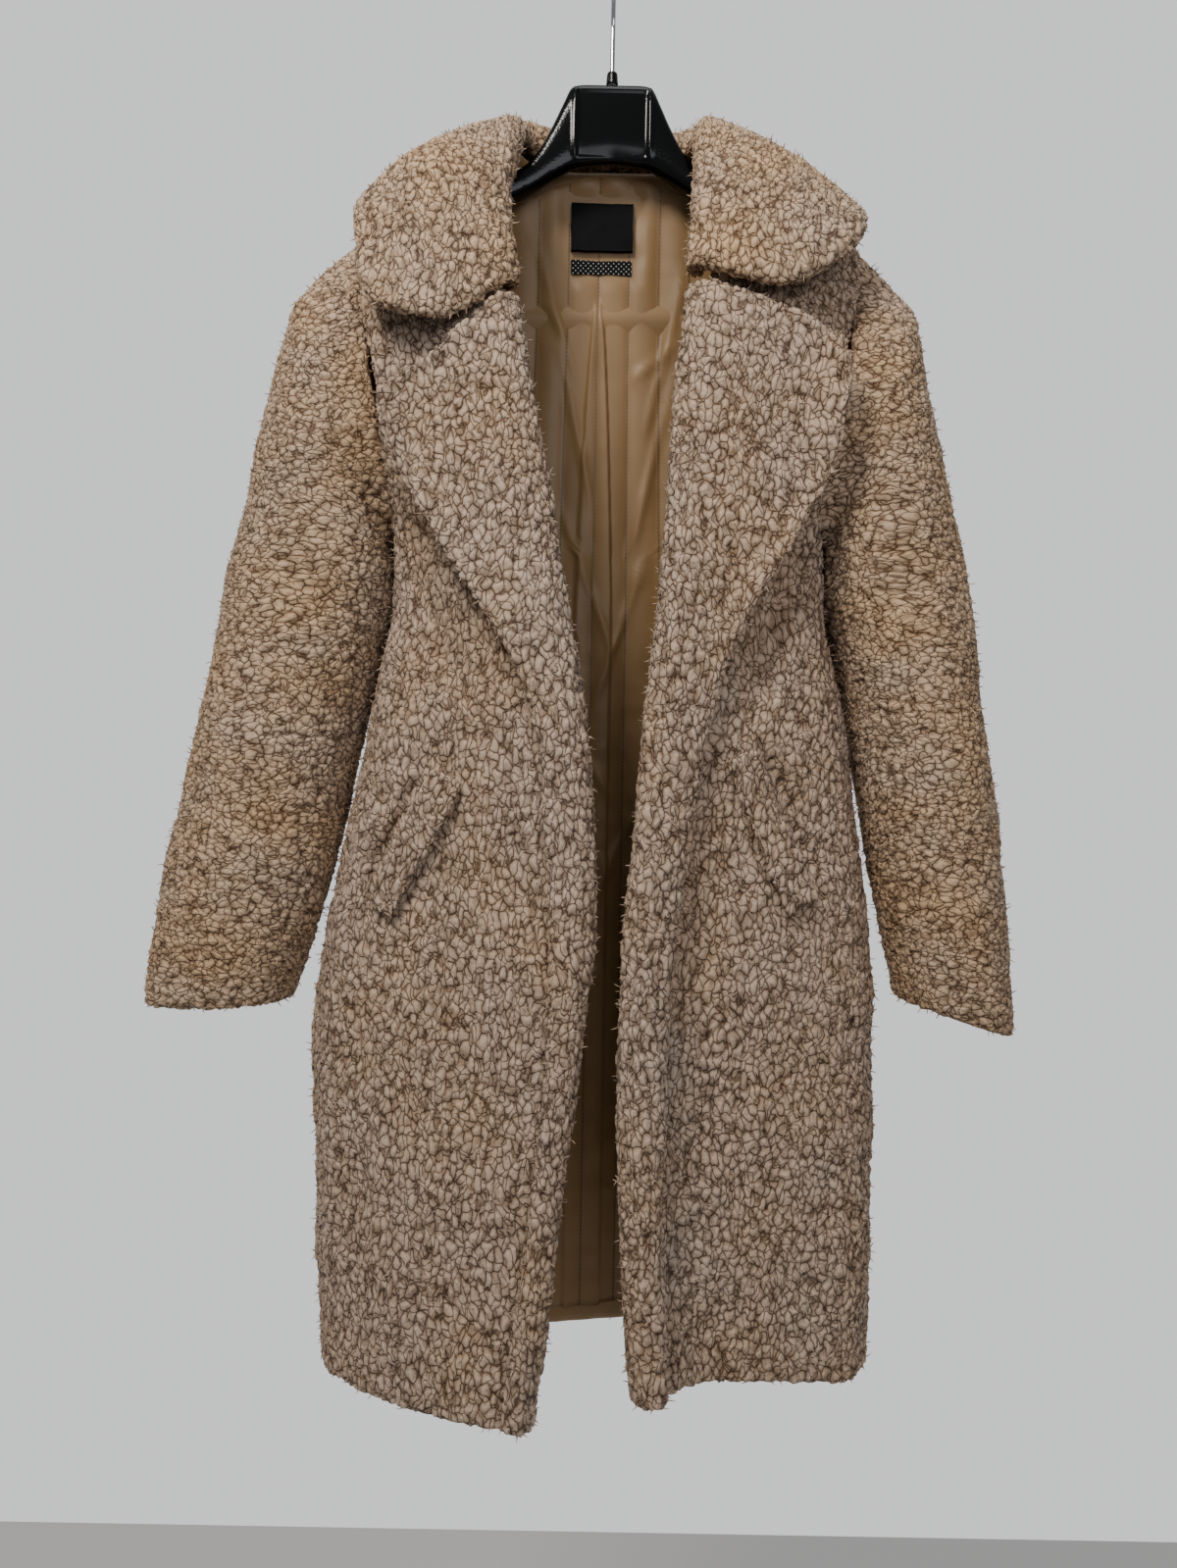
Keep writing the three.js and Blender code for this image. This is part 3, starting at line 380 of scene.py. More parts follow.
def soft_noise(points, size, seed):
    """Smooth random heights from -1 to 1: eased mixing between the corners of a lattice of cubes."""
    q = points / size + LATTICE_START
    base = np.floor(q).astype(np.int64)
    f = q - base
    f = f * f * (3 - 2 * f)
    total = np.zeros(len(q))
    for corner in np.ndindex(2, 2, 2):
        c = np.array(corner)
        cell = (base + c).astype(np.uint64) * CELL_KEYS
        h = (cell[:, 0] ^ cell[:, 1] ^ cell[:, 2]) * FIRST_KEY + np.uint64(seed * SEED_KEY)
        h = (h ^ (h >> np.uint64(15))) * SECOND_KEY
        weight = np.prod(np.where(c == 1, f, 1 - f), axis=1)
        total += weight * ((h >> np.uint64(9)) & np.uint64(TOP_HEIGHT)).astype(float) / TOP_HEIGHT
    return 2 * total - 1


# %% [markdown]
# The knots have to be the same in the mesh as in the shader, so the shader's own cell pattern is
# asked for its values. A small node group reads the place of every vertex in the pattern, works out
# how far it is from the nearest crack, and stores that number, which numpy then takes over.

# %% How far each vertex is from a crack
def crack_reader():
    """A geometry node group that stores the cell pattern's distance to the nearest crack."""
    group = bpy.data.node_groups.new("crack_reader", "GeometryNodeTree")
    group.interface.new_socket("Geometry", in_out="INPUT", socket_type="NodeSocketGeometry")
    group.interface.new_socket("Geometry", in_out="OUTPUT", socket_type="NodeSocketGeometry")
    given = node(group, "NodeGroupInput", {})
    place = node(group, "GeometryNodeInputNamedAttribute", {
        "data_type": "FLOAT_VECTOR", "Name": "curl_place"})
    cells = node(group, "ShaderNodeTexVoronoi", {
        "feature": "DISTANCE_TO_EDGE", **curl_cells(group, place.outputs["Attribute"])})
    kept = node(group, "GeometryNodeStoreNamedAttribute", {
        "data_type": "FLOAT", "domain": "POINT", "Geometry": given.outputs[0],
        "Name": "from_crack", "Value": cells.outputs["Distance"]})
    node(group, "NodeGroupOutput", {"Geometry": kept.outputs["Geometry"]})
    return group


READER = crack_reader()
RISE_SHARE = 0.33


def knots(mesh, place):
    """Gives the mesh its places in the pattern, and returns how high each vertex stands on a knot.

    The height is 0 in a crack and 1 on a crown. It rises with the distance to the crack and levels
    off: t times (2 - t), where t is that distance over a third of a knot.
    """
    store(mesh, "curl_place", place)
    read = through_modifier(mesh, "NODES", {"node_group": READER})
    distance = values_of(read.attributes["from_crack"].data, "value")
    bpy.data.meshes.remove(read)
    t = np.clip(distance / RISE_SHARE, 0, 1).astype(float)
    return t * (2 - t)


# %% [markdown]
# Which side of a wall has the pile? The collar, the facings and the welts have it all round. The
# back, the fronts and the sleeves have it outside only, and their inner face is lining. A point is
# on the outside where its normal leads away from the middle of the body or of the sleeve.

# %% The outside of a wall
TUBE_SLABS = 24
BODY_MIDDLE_Y_MM = -30
BODY_FLATNESS = 0.35
TURN_WIDE, TURN_START = 0.35, 0.6


def tube_middle(points):
    """For each point, the middle of the tube at its height: the middle of the box of each slab."""
    z = points[:, 2]
    levels = np.linspace(z.min(), z.max(), TUBE_SLABS + 1)
    slab = np.clip(np.digitize(z, levels) - 1, 0, TUBE_SLABS - 1)
    slabs = [points[slab == k] for k in range(TUBE_SLABS)]
    middle = np.array([(inside.min(0) + inside.max(0)) / 2 for inside in slabs])
    centres = (levels[:-1] + levels[1:]) / 2
    return np.stack([np.interp(z, centres, middle[:, axis]) for axis in range(3)], axis=1)


def outside_share(points, normals, kind):
    """1 where the wall's face has pile, 0 where it is lining, with a soft change between.

    It is the cosine between the normal and the way out, over 0.35, plus 0.6, kept between 0 and 1.
    """
    if kind == "all round":
        return np.ones(len(points))
    if kind == "sleeve":
        away = points - tube_middle(points)
        away[:, 2] = 0
    else:
        away = points * np.array([1.0, 1.0, 0.0]) - np.array([0.0, BODY_MIDDLE_Y_MM * MM, 0.0])
        away[:, 0] *= BODY_FLATNESS
    away /= np.linalg.norm(away, axis=1)[:, None]
    return np.clip((normals * away).sum(1) / TURN_WIDE + TURN_START, 0, 1)


# %% [markdown]
# Loose ends of yarn stand out of the pile and make its outline frizzy. Each is a bent sliver with
# three sides: a foot in the pile, a knee, and a tip that leans over. Thousands of them are made as
# one array and join the wall's own mesh, which they are part of in the real cloth too.

# %% Loose ends of yarn
END_MM = 5.5
END_WIDE_MM = 1.1
ENDS_PER_CM2 = 1.1
LEAN, SHORTEST, LONGEST, MOST_BENT = 0.75, 0.5, 1.15, 0.7
FOOT_DEPTH_MM = 0.6
KNEE_AT, KNEE_BEND, FOOT_HALF, KNEE_HALF = 0.6, 0.4, 0.5, 0.36


def loose_ends(points, normals, place, seed):
    """Slivers on some points: 7 corners and 10 faces each, leaning a random way from the normal.

    With direction d and side vectors a and b, the foot is three points around p, the knee the same
    at 0.6 of the way along d, narrower, and the tip at p + d + bend.
    """
    rng = np.random.default_rng(seed)
    count = len(points)
    lean = rng.normal(size=(count, 3)) * LEAN
    way = normals + lean
    way /= np.linalg.norm(way, axis=1)[:, None]
    a = np.cross(way, rng.normal(size=(count, 3)))
    a /= np.linalg.norm(a, axis=1)[:, None]
    b = np.cross(way, a)
    long = (END_MM * MM * rng.uniform(SHORTEST, LONGEST, count))[:, None]
    bend = a * long * rng.uniform(-MOST_BENT, MOST_BENT, count)[:, None]
    turns = np.array([0.0, 2.0, 4.0]) * math.pi / 3
    ring = [a * math.cos(t) + b * math.sin(t) for t in turns]
    foot = points - normals * FOOT_DEPTH_MM * MM
    knee = foot + way * long * KNEE_AT + bend * KNEE_BEND
    corners = [foot + r * END_WIDE_MM * MM * FOOT_HALF for r in ring]
    corners += [knee + r * END_WIDE_MM * MM * KNEE_HALF for r in ring]
    corners.append(foot + way * long + bend)
    made = np.stack(corners, axis=1).reshape(-1, 3)
    pattern = np.array([(0, 2, 1), (0, 1, 4), (0, 4, 3), (1, 2, 5), (1, 5, 4), (2, 0, 3), (2, 3, 5),
                        (3, 4, 6), (4, 5, 6), (5, 3, 6)])
    faces = (pattern[None] + 7 * np.arange(count)[:, None, None]).reshape(-1, 3)
    return made, faces, np.repeat(place, 7, axis=0)


# %% The wall and its loose ends as one mesh
def joined(mesh, ends, name):
    """The wall and its loose ends as one mesh that keeps the places in the pattern."""
    made, faces, place = ends
    first = len(mesh.vertices)
    corners = values_of(mesh.loops, "vertex_index", kind=np.int32)
    totals = values_of(mesh.polygons, "loop_total", kind=np.int32)
    slots = values_of(mesh.polygons, "material_index", kind=np.int32)
    old_place = values_of(mesh.attributes["curl_place"].data, "vector", 3)
    whole = bpy.data.meshes.new(name)
    points = np.concatenate([coordinates(mesh), made])
    corners = np.concatenate([corners, (faces + first).reshape(-1)])
    totals = np.concatenate([totals, np.full(len(faces), 3)])
    slots = np.concatenate([slots, np.zeros(len(faces), dtype=np.int32)])
    starts = np.concatenate([[0], np.cumsum(totals)[:-1]])
    whole.vertices.add(len(points))
    whole.loops.add(len(corners))
    whole.polygons.add(len(totals))
    whole.vertices.foreach_set("co", points.reshape(-1))
    whole.loops.foreach_set("vertex_index", corners)
    whole.polygons.foreach_set("loop_start", starts)
    whole.polygons.foreach_set("material_index", slots)
    whole.update(calc_edges=True)
    store(whole, "curl_place", np.concatenate([old_place, place]))
    return whole


# %% [markdown]
# Sewing and hanging give a piece a form that its plain wall lacks. A lapel's edge stands off the
# front, and the front sinks in a soft fold beside it and in a slit at the pocket. Rounding the
# walls' edges opens the seams between them, so each edge is drawn back to the piece it is sewn to.

# %% How each piece hangs
LAPEL = {
    "lift": 14 * MM, "wide": 34 * MM, "top": -215 * MM, "ease": 50 * MM, "low": -560 * MM, "fade": 150 * MM}
FULLER_PLACES = ((-500, 65, 13), (-265, 55, 6))
INNER_EASE_MM = 30
HEAD = {"low": -305 * MM, "tall": 60 * MM, "inward": 13 * MM, "upward": 9 * MM}


def flared(points):
    """A lapel's edge moves forward by the square of its nearness to the edge, times the lift."""
    side = np.sign(points[:, 0].mean())
    out, z = side * points[:, 0], points[:, 2]
    reach = np.interp(z, *binned(z, out, SLAB_MM * MM, np.max))
    near = np.clip((out - reach) / LAPEL["wide"] + 1, 0, 1)
    fading = np.clip((z - LAPEL["low"]) / LAPEL["fade"], 0, 1)
    span = eased(LAPEL["top"] - z, LAPEL["ease"]) * fading
    return points - np.stack([0 * z, LAPEL["lift"] * near * near * span, 0 * z], axis=1)


def fuller_sleeve(points):
    """A sleeve's inner side moves towards the body near some heights, such as the armpit's.

    Each place gives a height, how far up and down it reaches, and how far the side moves there, in mm.
    The head's rim is drawn inward and up besides, into the shoulder that it is sewn to.
    """
    side = np.sign(points[:, 0].mean())
    inner = eased(side * (tube_middle(points)[:, 0] - points[:, 0]), INNER_EASE_MM * MM)
    moved = sum(far * MM * np.exp(-((points[:, 2] - z * MM) / (reach * MM)) ** 2)
                for z, reach, far in FULLER_PLACES)
    rim = np.clip((points[:, 2] - HEAD["low"]) / HEAD["tall"], 0, 1)
    inward = moved * inner + HEAD["inward"] * rim
    return points + np.stack([-side * inward, 0 * rim, HEAD["upward"] * rim], axis=1)


FRONT_FOLDS = ((-150, -468, -110, -600), (146, -462, 110, -606))
FOLD_MM, FOLD_WIDE_MM = 14, 13
MOUTH_MM, MOUTH_WIDE_MM = 8, 4.5
# The slit starts at this share of the welt's width and ends at this share of its height.
MOUTH_START, MOUTH_END = 0.4, 0.2
WELT_LIFT_MM = 3.5


def folded_front(points, side):
    """A front sinks beside the lapel, in one soft fold, and along the mouth of its pocket."""
    x, z = points[:, 0], points[:, 2]
    sunk = sum(FOLD_MM * near_line(x, z, fold, FOLD_WIDE_MM * MM) for fold in FRONT_FOLDS)
    low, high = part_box("pocket_welt_" + side)
    near, far = (low.x, high.x) if side == "left" else (high.x, low.x)
    mouth = (near + MOUTH_START * (far - near), high.z, far, low.z + MOUTH_END * (high.z - low.z))
    sunk = sunk + MOUTH_MM * near_line(x, z, [value / MM for value in mouth], MOUTH_WIDE_MM * MM)
    return points + np.stack([0 * x, sunk * MM, 0 * x], axis=1)


SEAMS = ((-440, -1, 14, 4.5), (-285, 1, 30, 15))
SEAM_EASE_MM = 40


def drawn_to_seam(points, towards):
    """A wall's edge is drawn to its neighbour, so that the side seam and the shoulder seam are closed.

    Each seam gives the height where it starts, whether it lies above (1) or below (-1) that height,
    how wide a strip of the wall moves, and how far the edge itself moves, in mm.
    """
    y, z = points[:, 1], points[:, 2]
    reach = np.interp(z, *binned(z, towards * y, SLAB_MM * MM, np.max))
    drawn = 0 * y
    for start, way, wide, far in SEAMS:
        near = np.clip((towards * y - reach) / (wide * MM) + 1, 0, 1)
        drawn = drawn + far * MM * near * eased(way * (z - start * MM), SEAM_EASE_MM * MM)
    return points + np.stack([0 * y, towards * drawn, 0 * y], axis=1)


def hung(name, points):
    """What hanging and sewing do to each kind of piece."""
    if name == "back":
        return drawn_to_seam(points, -1)
    if name.startswith("facing"):
        return flared(points)
    if name.startswith("sleeve"):
        return fuller_sleeve(points)
    if name.startswith("front"):
        return drawn_to_seam(folded_front(points, name[len("front_"):]), 1)
    if name.startswith("pocket"):
        return points - np.array([0, WELT_LIFT_MM * MM, 0])
    return points


# %% [markdown]
# The parts come together here. The wall is netted, rounded and crumpled a little, as hanging cloth
# is, then raised knot by knot, and hung. Knots are longer upright on the body and crosswise on the
# sleeves, because the pile is combed with the cloth's own nap. Crowns stand a little proud of the
# solid and cracks lie below it, so the coat keeps the solid's size.

# %% Raise the pile on a wall
PILE_MM = 2.6
FACE_HEIGHT = 0.8
UPRIGHT = np.array([1.0, 1.0, 0.66])
CROSSWISE = np.array([0.78, 0.9, 1.08])
ROUNDING_TURNS, NORMAL_TURNS = 5, 2
SWIRL_MM, SWIRL_REACH_MM = 30, 3.5
# Each crumple's height and width in mm, and its key in the noise.
CRUMPLES = ((1.7, 46, 5), (0.9, 18, 7))
GROWN_SHARE, GROWN_HEIGHT = 0.9, 0.35


def pile_piece(name, kind, material, seed, pile=PILE_MM, voxel=VOXEL_MM):
    """A wall of pile on its solid's form, with its lining face in the second material.

    A vertex moves along its normal by (height - 0.8) times the pile's length, plus a soft crumple.
    """
    mesh = even_net(name, voxel)
    set_coordinates(mesh, averaged(mesh, coordinates(mesh), ROUNDING_TURNS))
    points = coordinates(mesh)
    normals = averaged(mesh, vertex_normals(mesh), NORMAL_TURNS)
    normals /= np.linalg.norm(normals, axis=1)[:, None]
    share = outside_share(points, normals, kind)
    swirl = np.stack([soft_noise(points, SWIRL_MM * MM, 11 + k) for k in range(3)], axis=1)
    place = (points + swirl * SWIRL_REACH_MM * MM) * (CROSSWISE if kind == "sleeve" else UPRIGHT)
    height = knots(mesh, place)
    crumple = sum(high * MM * soft_noise(points, wide * MM, key) for high, wide, key in CRUMPLES)
    rise = (height - FACE_HEIGHT) * pile * MM + crumple
    points = hung(name, points + normals * (share * rise)[:, None])
    set_coordinates(mesh, points)
    corners = values_of(mesh.loops, "vertex_index", kind=np.int32)
    starts = values_of(mesh.polygons, "loop_start", kind=np.int32)
    lined = share[corners[starts]] < 0.5
    mesh.polygons.foreach_set("material_index", lined.astype(np.int32))
    rng = np.random.default_rng(seed)
    chance = ENDS_PER_CM2 * (voxel / 10) ** 2
    grown = (share > GROWN_SHARE) & (height > GROWN_HEIGHT) & (rng.random(len(points)) < chance)
    ends = loose_ends(points[grown], normals[grown], place[grown], seed)
    whole = smooth_shaded(joined(mesh, ends, name + "_pile"))
    whole.materials.append(material)
    whole.materials.append(camel_satin)
    made = show(bpy.data.objects.new(name + "_pile", whole))
    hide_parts(name)
    triangles = len(whole.loops) - 2 * len(whole.polygons)
    print(made.name, "triangles", triangles, "loose ends", int(grown.sum()))


# %% [markdown]
# Each piece of pile is made from its solid, with its kind of wall, its material and a seed for its loose
# ends.
# The back has a coarser net, and the welts a finer net and a shorter pile.

# %% The coat's pieces of pile
BACK_VOXEL_MM, WELT_VOXEL_MM, WELT_PILE_MM = 5.0, 2.0, 2.2

pile_piece("back", "body", pile_warm, voxel=BACK_VOXEL_MM, seed=2)
for number, side in enumerate(("left", "right")):
    pile_piece("front_" + side, "body", pile_grey, seed=3 + number)
    pile_piece("sleeve_" + side, "sleeve", pile_warm, seed=5 + number)
    pile_piece("facing_" + side, "all round", pile_grey, seed=7 + number)
    pile_piece("pocket_welt_" + side, "all round", pile_grey, pile=WELT_PILE_MM,
               voxel=WELT_VOXEL_MM, seed=9 + number)
pile_piece("collar", "all round", pile_warm, seed=11)

# %% [markdown]
# The back's lining is one quilted sheet of satin. Its solid is plain, so the shown sheet is a finer
# grid: the grid hangs behind the solid and is moved forward until it meets the solid's back face.
# The front face then stands off that one by the satin's thickness and by the puff of the quilting.
# A narrow box pleat opens below the labels, and soft creases run down from the neck.

# %% The lining's grid
LINING_COLUMNS, LINING_ROWS = ((104, 190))
SATIN_MM = 1.0
MARGIN_MM = 1.2
TOP_BAND_MM, LOW_BAND_MM, COLUMN_MM = 110, 30, 12.5
START_Y, MISSED_Y = 0.15, 0.149


def lining_grid():
    """Rows from the top to the bottom edge of the solid, columns as shares of its half widths.

    With t even from -1 to 1, a column's share is t (0.3 + 0.7 t t), which is closer in the middle.
    """
    points = coordinates(merged_copy("lining_back"))
    x, z = points[:, 0], points[:, 2]
    upper, lower = z > z.max() - TOP_BAND_MM * MM, z < z.min() + LOW_BAND_MM * MM
    top_x, top_z = binned(x[upper], z[upper], COLUMN_MM * MM, np.max)
    low_x, low_z = binned(x[lower], z[lower], COLUMN_MM * MM, np.min)
    t = np.linspace(-1, 1, LINING_COLUMNS)
    u = (t * (0.3 + 0.7 * t * t))[None, :]
    v = np.linspace(0, 1, LINING_ROWS)[:, None]
    top = np.interp(u * x[upper].max(), top_x, top_z) - MARGIN_MM * MM
    low = np.interp(u * x[lower].max(), low_x, low_z) + MARGIN_MM * MM
    height = top + (low - top) * v
    sides = []
    for sign in (-1, 1):
        half = sign * x > 0
        side_z, side_x = binned(z[half], sign * x[half], SLAB_MM * MM, np.max)
        sides.append(np.interp(height, side_z, side_x) - MARGIN_MM * MM)
    across = np.where(u < 0, u * sides[0], u * sides[1])
    return np.stack([across, np.full_like(across, START_Y), height], axis=2)


def grid_faces(rows, columns, first=0):
    """Quads of a grid of points, numbered row by row."""
    start = (np.arange(rows - 1)[:, None] * columns + np.arange(columns - 1)[None, :]).reshape(-1) + first
    return np.stack([start, start + 1, start + columns + 1, start + columns], axis=1)


def landed(grid):
    """The grid moved forward (towards -Y) onto the solid's back face; what misses it is filled in."""
    rows, columns = grid.shape[:2]
    mesh = bpy.data.meshes.new("lining_net")
    mesh.from_pydata(grid.reshape(-1, 3), [], grid_faces(rows, columns).tolist())
    target = bpy.data.objects.new("lining_target", merged_copy("lining_back"))
    bpy.context.scene.collection.objects.link(target)
    settings = {"target": target, "wrap_method": "PROJECT", "use_project_y": True,
                "use_negative_direction": True, "use_positive_direction": False}
    moved = coordinates(through_modifier(mesh, "SHRINKWRAP", settings)).reshape(rows, columns, 3)
    bpy.data.objects.remove(target)
    depth = moved[:, :, 1]
    for line in depth:
        met = line < MISSED_Y
        if met.any():
            line[~met] = np.interp(np.flatnonzero(~met), np.flatnonzero(met), line[met])
    empty = (depth > MISSED_Y).all(axis=1)
    filled = np.flatnonzero(~empty)
    nearest = np.abs(filled[None, :] - np.flatnonzero(empty)[:, None]).argmin(axis=1)
    depth[empty] = depth[filled[nearest]]
    for _ in range(3):
        depth[1:-1] = (depth[:-2] + 2 * depth[1:-1] + depth[2:]) / 4
    return np.stack([grid[:, :, 0], depth, grid[:, :, 2]], axis=2)


back_face = landed(lining_grid())
depths = back_face[:, :, 1]
print("lining grid", back_face.shape, "depth from", depths.min(), "to", depths.max())

# %% [markdown]
# Between two rows of stitches the padding puffs up. The pleat is a narrow flap that stands off the
# rows, with edges that part further down. The creases are short ridges, and the satin ripples in
# broad waves, with smaller ones towards the hem.

# %% Quilting, pleat and creases
QUILT = {"pitch": 25 * MM, "line": -8 * MM, "puff": 3.0 * MM, "fullness": 0.6, "spread": 0.12}
PLEAT = {"top": -262 * MM, "wide": 15 * MM, "over": 260 * MM, "rise": 4.5 * MM, "edge": 1.4 * MM}
PLEAT_START = 12
BROAD_MM, BROAD_HIGH_MM = 22, 1.3
SMALL_MM, SMALL_HIGH_MM = 7, 0.9
SMALL_FROM_MM, SMALL_OVER_MM, SMALL_LEAST = -450, 250, 0.25
SINK_MM = 1.2
CREASE_WIDE = 3.4 * MM
# Each crease's two ends, x before z, and its height, all in mm.
CREASES = (
    (-62, -215, -26, -330, 2.6), (-40, -300, -12, -430, 2.4), (64, -240, 34, -370, 2.6),
    (52, -340, 24, -470, 2.4), (-58, -260, -30, -300, 2.2), (58, -300, 22, -330, 2.2),
    (-36, -440, 10, -560, 2.2), (38, -470, -6, -600, 2.4), (-30, -620, 26, -700, 2.0),
    (30, -690, -22, -800, 2.2))


def quilted(face):
    """How far the front face stands out, and the number of the row of quilting, a half on each row.

    The puff is the cosine of pi times that number, without its sign, to the power of the fullness.
    """
    x, z = face[:, :, 0], face[:, :, 2]
    flat = np.stack([x, 0 * x, z], axis=2).reshape(-1, 3)
    opened = np.clip((PLEAT["top"] - z) / PLEAT["over"], 0, 1)
    phase = (x / (1 + QUILT["spread"] * opened) - QUILT["line"]) / QUILT["pitch"]
    puff = QUILT["puff"] * np.abs(np.sin(math.pi * phase)) ** QUILT["fullness"]
    inside = PLEAT["wide"] * np.sqrt(opened) - np.abs(x - QUILT["line"])
    flap = np.clip(inside / PLEAT["edge"] + 0.5, 0, 1) * np.clip(opened * PLEAT_START, 0, 1)
    rise = PLEAT["rise"] * flap * flap * (3 - 2 * flap)
    rise = rise + sum(deep * MM * near_line(x, z, ends, CREASE_WIDE) for *ends, deep in CREASES)
    broad = soft_noise(flat * np.array([1, 1, 0.35]), BROAD_MM * MM, 21).reshape(x.shape)
    small = soft_noise(flat * np.array([0.5, 1, 1]), SMALL_MM * MM, 23).reshape(x.shape)
    lower = np.clip((SMALL_FROM_MM * MM - z) / (SMALL_OVER_MM * MM), SMALL_LEAST, 1)
    ripple = broad * BROAD_HIGH_MM * MM + small * SMALL_HIGH_MM * MM * lower
    return puff + rise + np.maximum(ripple, -SINK_MM * MM) + SINK_MM * MM, phase + 0.5


def closed_sheet(name, back, front, material, row_number=None):
    """Two grids of the same size as one closed shell, with strips between their edges.

    The volume adds up a . (b x c) over the faces' corners. Below zero the faces point inwards, and
    they are turned round.
    """
    rows, columns = back.shape[:2]
    count = rows * columns
    ids = np.arange(count).reshape(rows, columns)
    rim = np.concatenate([ids[0, :-1], ids[:-1, -1], ids[-1, :0:-1], ids[:0:-1, 0]])
    following = np.roll(rim, -1)
    strips = np.stack([rim, rim + count, following + count, following], axis=1)
    inner, outer = grid_faces(rows, columns)[:, ::-1], grid_faces(rows, columns, count)
    faces = np.concatenate([inner, outer, strips])
    points = np.concatenate([back.reshape(-1, 3), front.reshape(-1, 3)])
    a, b, c, d = (points[faces[:, k]] for k in range(4))
    volume = (a * np.cross(b, c)).sum() + (a * np.cross(c, d)).sum()
    mesh = bpy.data.meshes.new(name)
    mesh.from_pydata(points, [], (faces if volume > 0 else faces[:, ::-1]).tolist())
    if row_number is not None:
        store(mesh, "quilt_across", np.concatenate([row_number.reshape(-1)] * 2))
    mesh.materials.append(material)
    return show(bpy.data.objects.new(name, smooth_shaded(mesh)))


FLAT_MM, FADE_MM, CLEAR_MM, LEAST_MM = 3, 9, 0.4, 0.2


def flat_under_labels(face, stand):
    """The labels lie flat on the lining, so under each one the front face stays just behind it."""
    for name in ("label_main", "label_strip"):
        low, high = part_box(name)
        beside = np.maximum(np.maximum(low.x - face[:, :, 0], face[:, :, 0] - high.x),
                            np.maximum(low.z - face[:, :, 2], face[:, :, 2] - high.z))
        away = np.clip((beside - FLAT_MM * MM) / (FADE_MM * MM), 0, 1)
        room = np.maximum(face[:, :, 1] - high.y - CLEAR_MM * MM, LEAST_MM * MM)
        stand = np.where(away < 1, np.minimum(stand, room) * (1 - away) + stand * away, stand)
    return stand


stand, quilt_across = quilted(back_face)
stand = flat_under_labels(back_face, stand + SATIN_MM * MM)
front_face = back_face - np.stack([0 * stand, stand, 0 * stand], axis=2)
lining = closed_sheet("lining_satin", back_face, front_face, camel_satin, quilt_across)
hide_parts("lining_back")
print(lining.name, "faces", len(lining.data.polygons))

# %% [markdown]
# Two damask labels are sewn under the neck. The large one is plain, and the narrow one has rows of
# pin dots. They are thin slabs in their solids' places, with edges that wander a little, as woven
# tape does where it is cut.

# %% The labels
TAPE_BLACK, DOT_WHITE = "#07080a", "#b0b0ad"
RIB_MM = 0.7
DOT_PITCH_MM = 4.2
# The cells stand on their corners, so they are smaller than the pitch by the root of two.
CELLS_PER_PITCH, DOT_SHARE = 1.414, 0.17
LABEL_COLUMNS, LABEL_ROWS = 52, 30
WANDER_MM, WANDER_WIDE_MM = 0.5, 9


def woven_tape(name, dots):
    """Black damask: fine ribs as a bump and, where asked for, a staggered grid of pale pin dots."""
    material, tree, shader = new_material(name, {
        "Base Color": linear(TAPE_BLACK), "Roughness": 0.75, "Specular IOR Level": 0.12})
    place = node(tree, "ShaderNodeTexCoord", {}).outputs["Object"]
    ribs = node(tree, "ShaderNodeTexWave", {
        "Vector": place, "bands_direction": "DIAGONAL", "Scale": wave_scale(RIB_MM)})
    bump = node(tree, "ShaderNodeBump", {
        "Strength": 0.3, "Distance": 0.2 * MM, "Height": ribs.outputs["Fac"]})
    tree.links.new(bump.outputs["Normal"], shader.inputs["Normal"])
    if dots:
        turned = node(tree, "ShaderNodeMapping", {
            "Vector": place, "Rotation": (0, math.radians(45), 0), "Scale": (1.0, 0.0, 1.0)})
        grid = node(tree, "ShaderNodeTexVoronoi", {
            "Vector": turned.outputs[0], "Scale": CELLS_PER_PITCH / (DOT_PITCH_MM * MM),
            "Randomness": 0.0})
        dot = node(tree, "ShaderNodeMath", {
            "operation": "LESS_THAN", 0: grid.outputs["Distance"], 1: DOT_SHARE})
        paint = node(tree, "ShaderNodeMix", {
            "data_type": "RGBA", "Factor": dot.outputs[0], "A": linear(TAPE_BLACK), "B": linear(DOT_WHITE)})
        tree.links.new(paint.outputs[2], shader.inputs["Base Color"])
    return material


def label(name, material, seed):
    """A slab between the front and back of its solid, its outline moved by soft noise."""
    low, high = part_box(name)
    columns, rows = np.linspace(low.x, high.x, LABEL_COLUMNS), np.linspace(high.z, low.z, LABEL_ROWS)
    x, z = np.meshgrid(columns, rows)
    flat = np.stack([x, 0 * x, z], axis=2).reshape(-1, 3)
    wander = [WANDER_MM * MM * soft_noise(flat, WANDER_WIDE_MM * MM, seed + k).reshape(x.shape)
              for k in range(3)]
    x, z = x + wander[0], z + wander[1]
    inner = np.stack([x, np.full_like(x, high.y) + wander[2], z], axis=2)
    outer = inner - np.array([0, high.y - low.y, 0])
    made = closed_sheet(name + "_tape", inner, outer, material)
    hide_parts(name)


label("label_main", woven_tape("damask_black", False), 31)
label("label_strip", woven_tape("damask_black_pin_dots", True), 37)

# %% [markdown]
# The hanger is moulded in gloss black plastic. Its head has a flat panel between two upright ribs,
# and its arms are grained like leather. The solid gives the form; a fine net of it takes the panel
# and the ribs, and the grain is a bump that fades out on the panel, which is left bare.

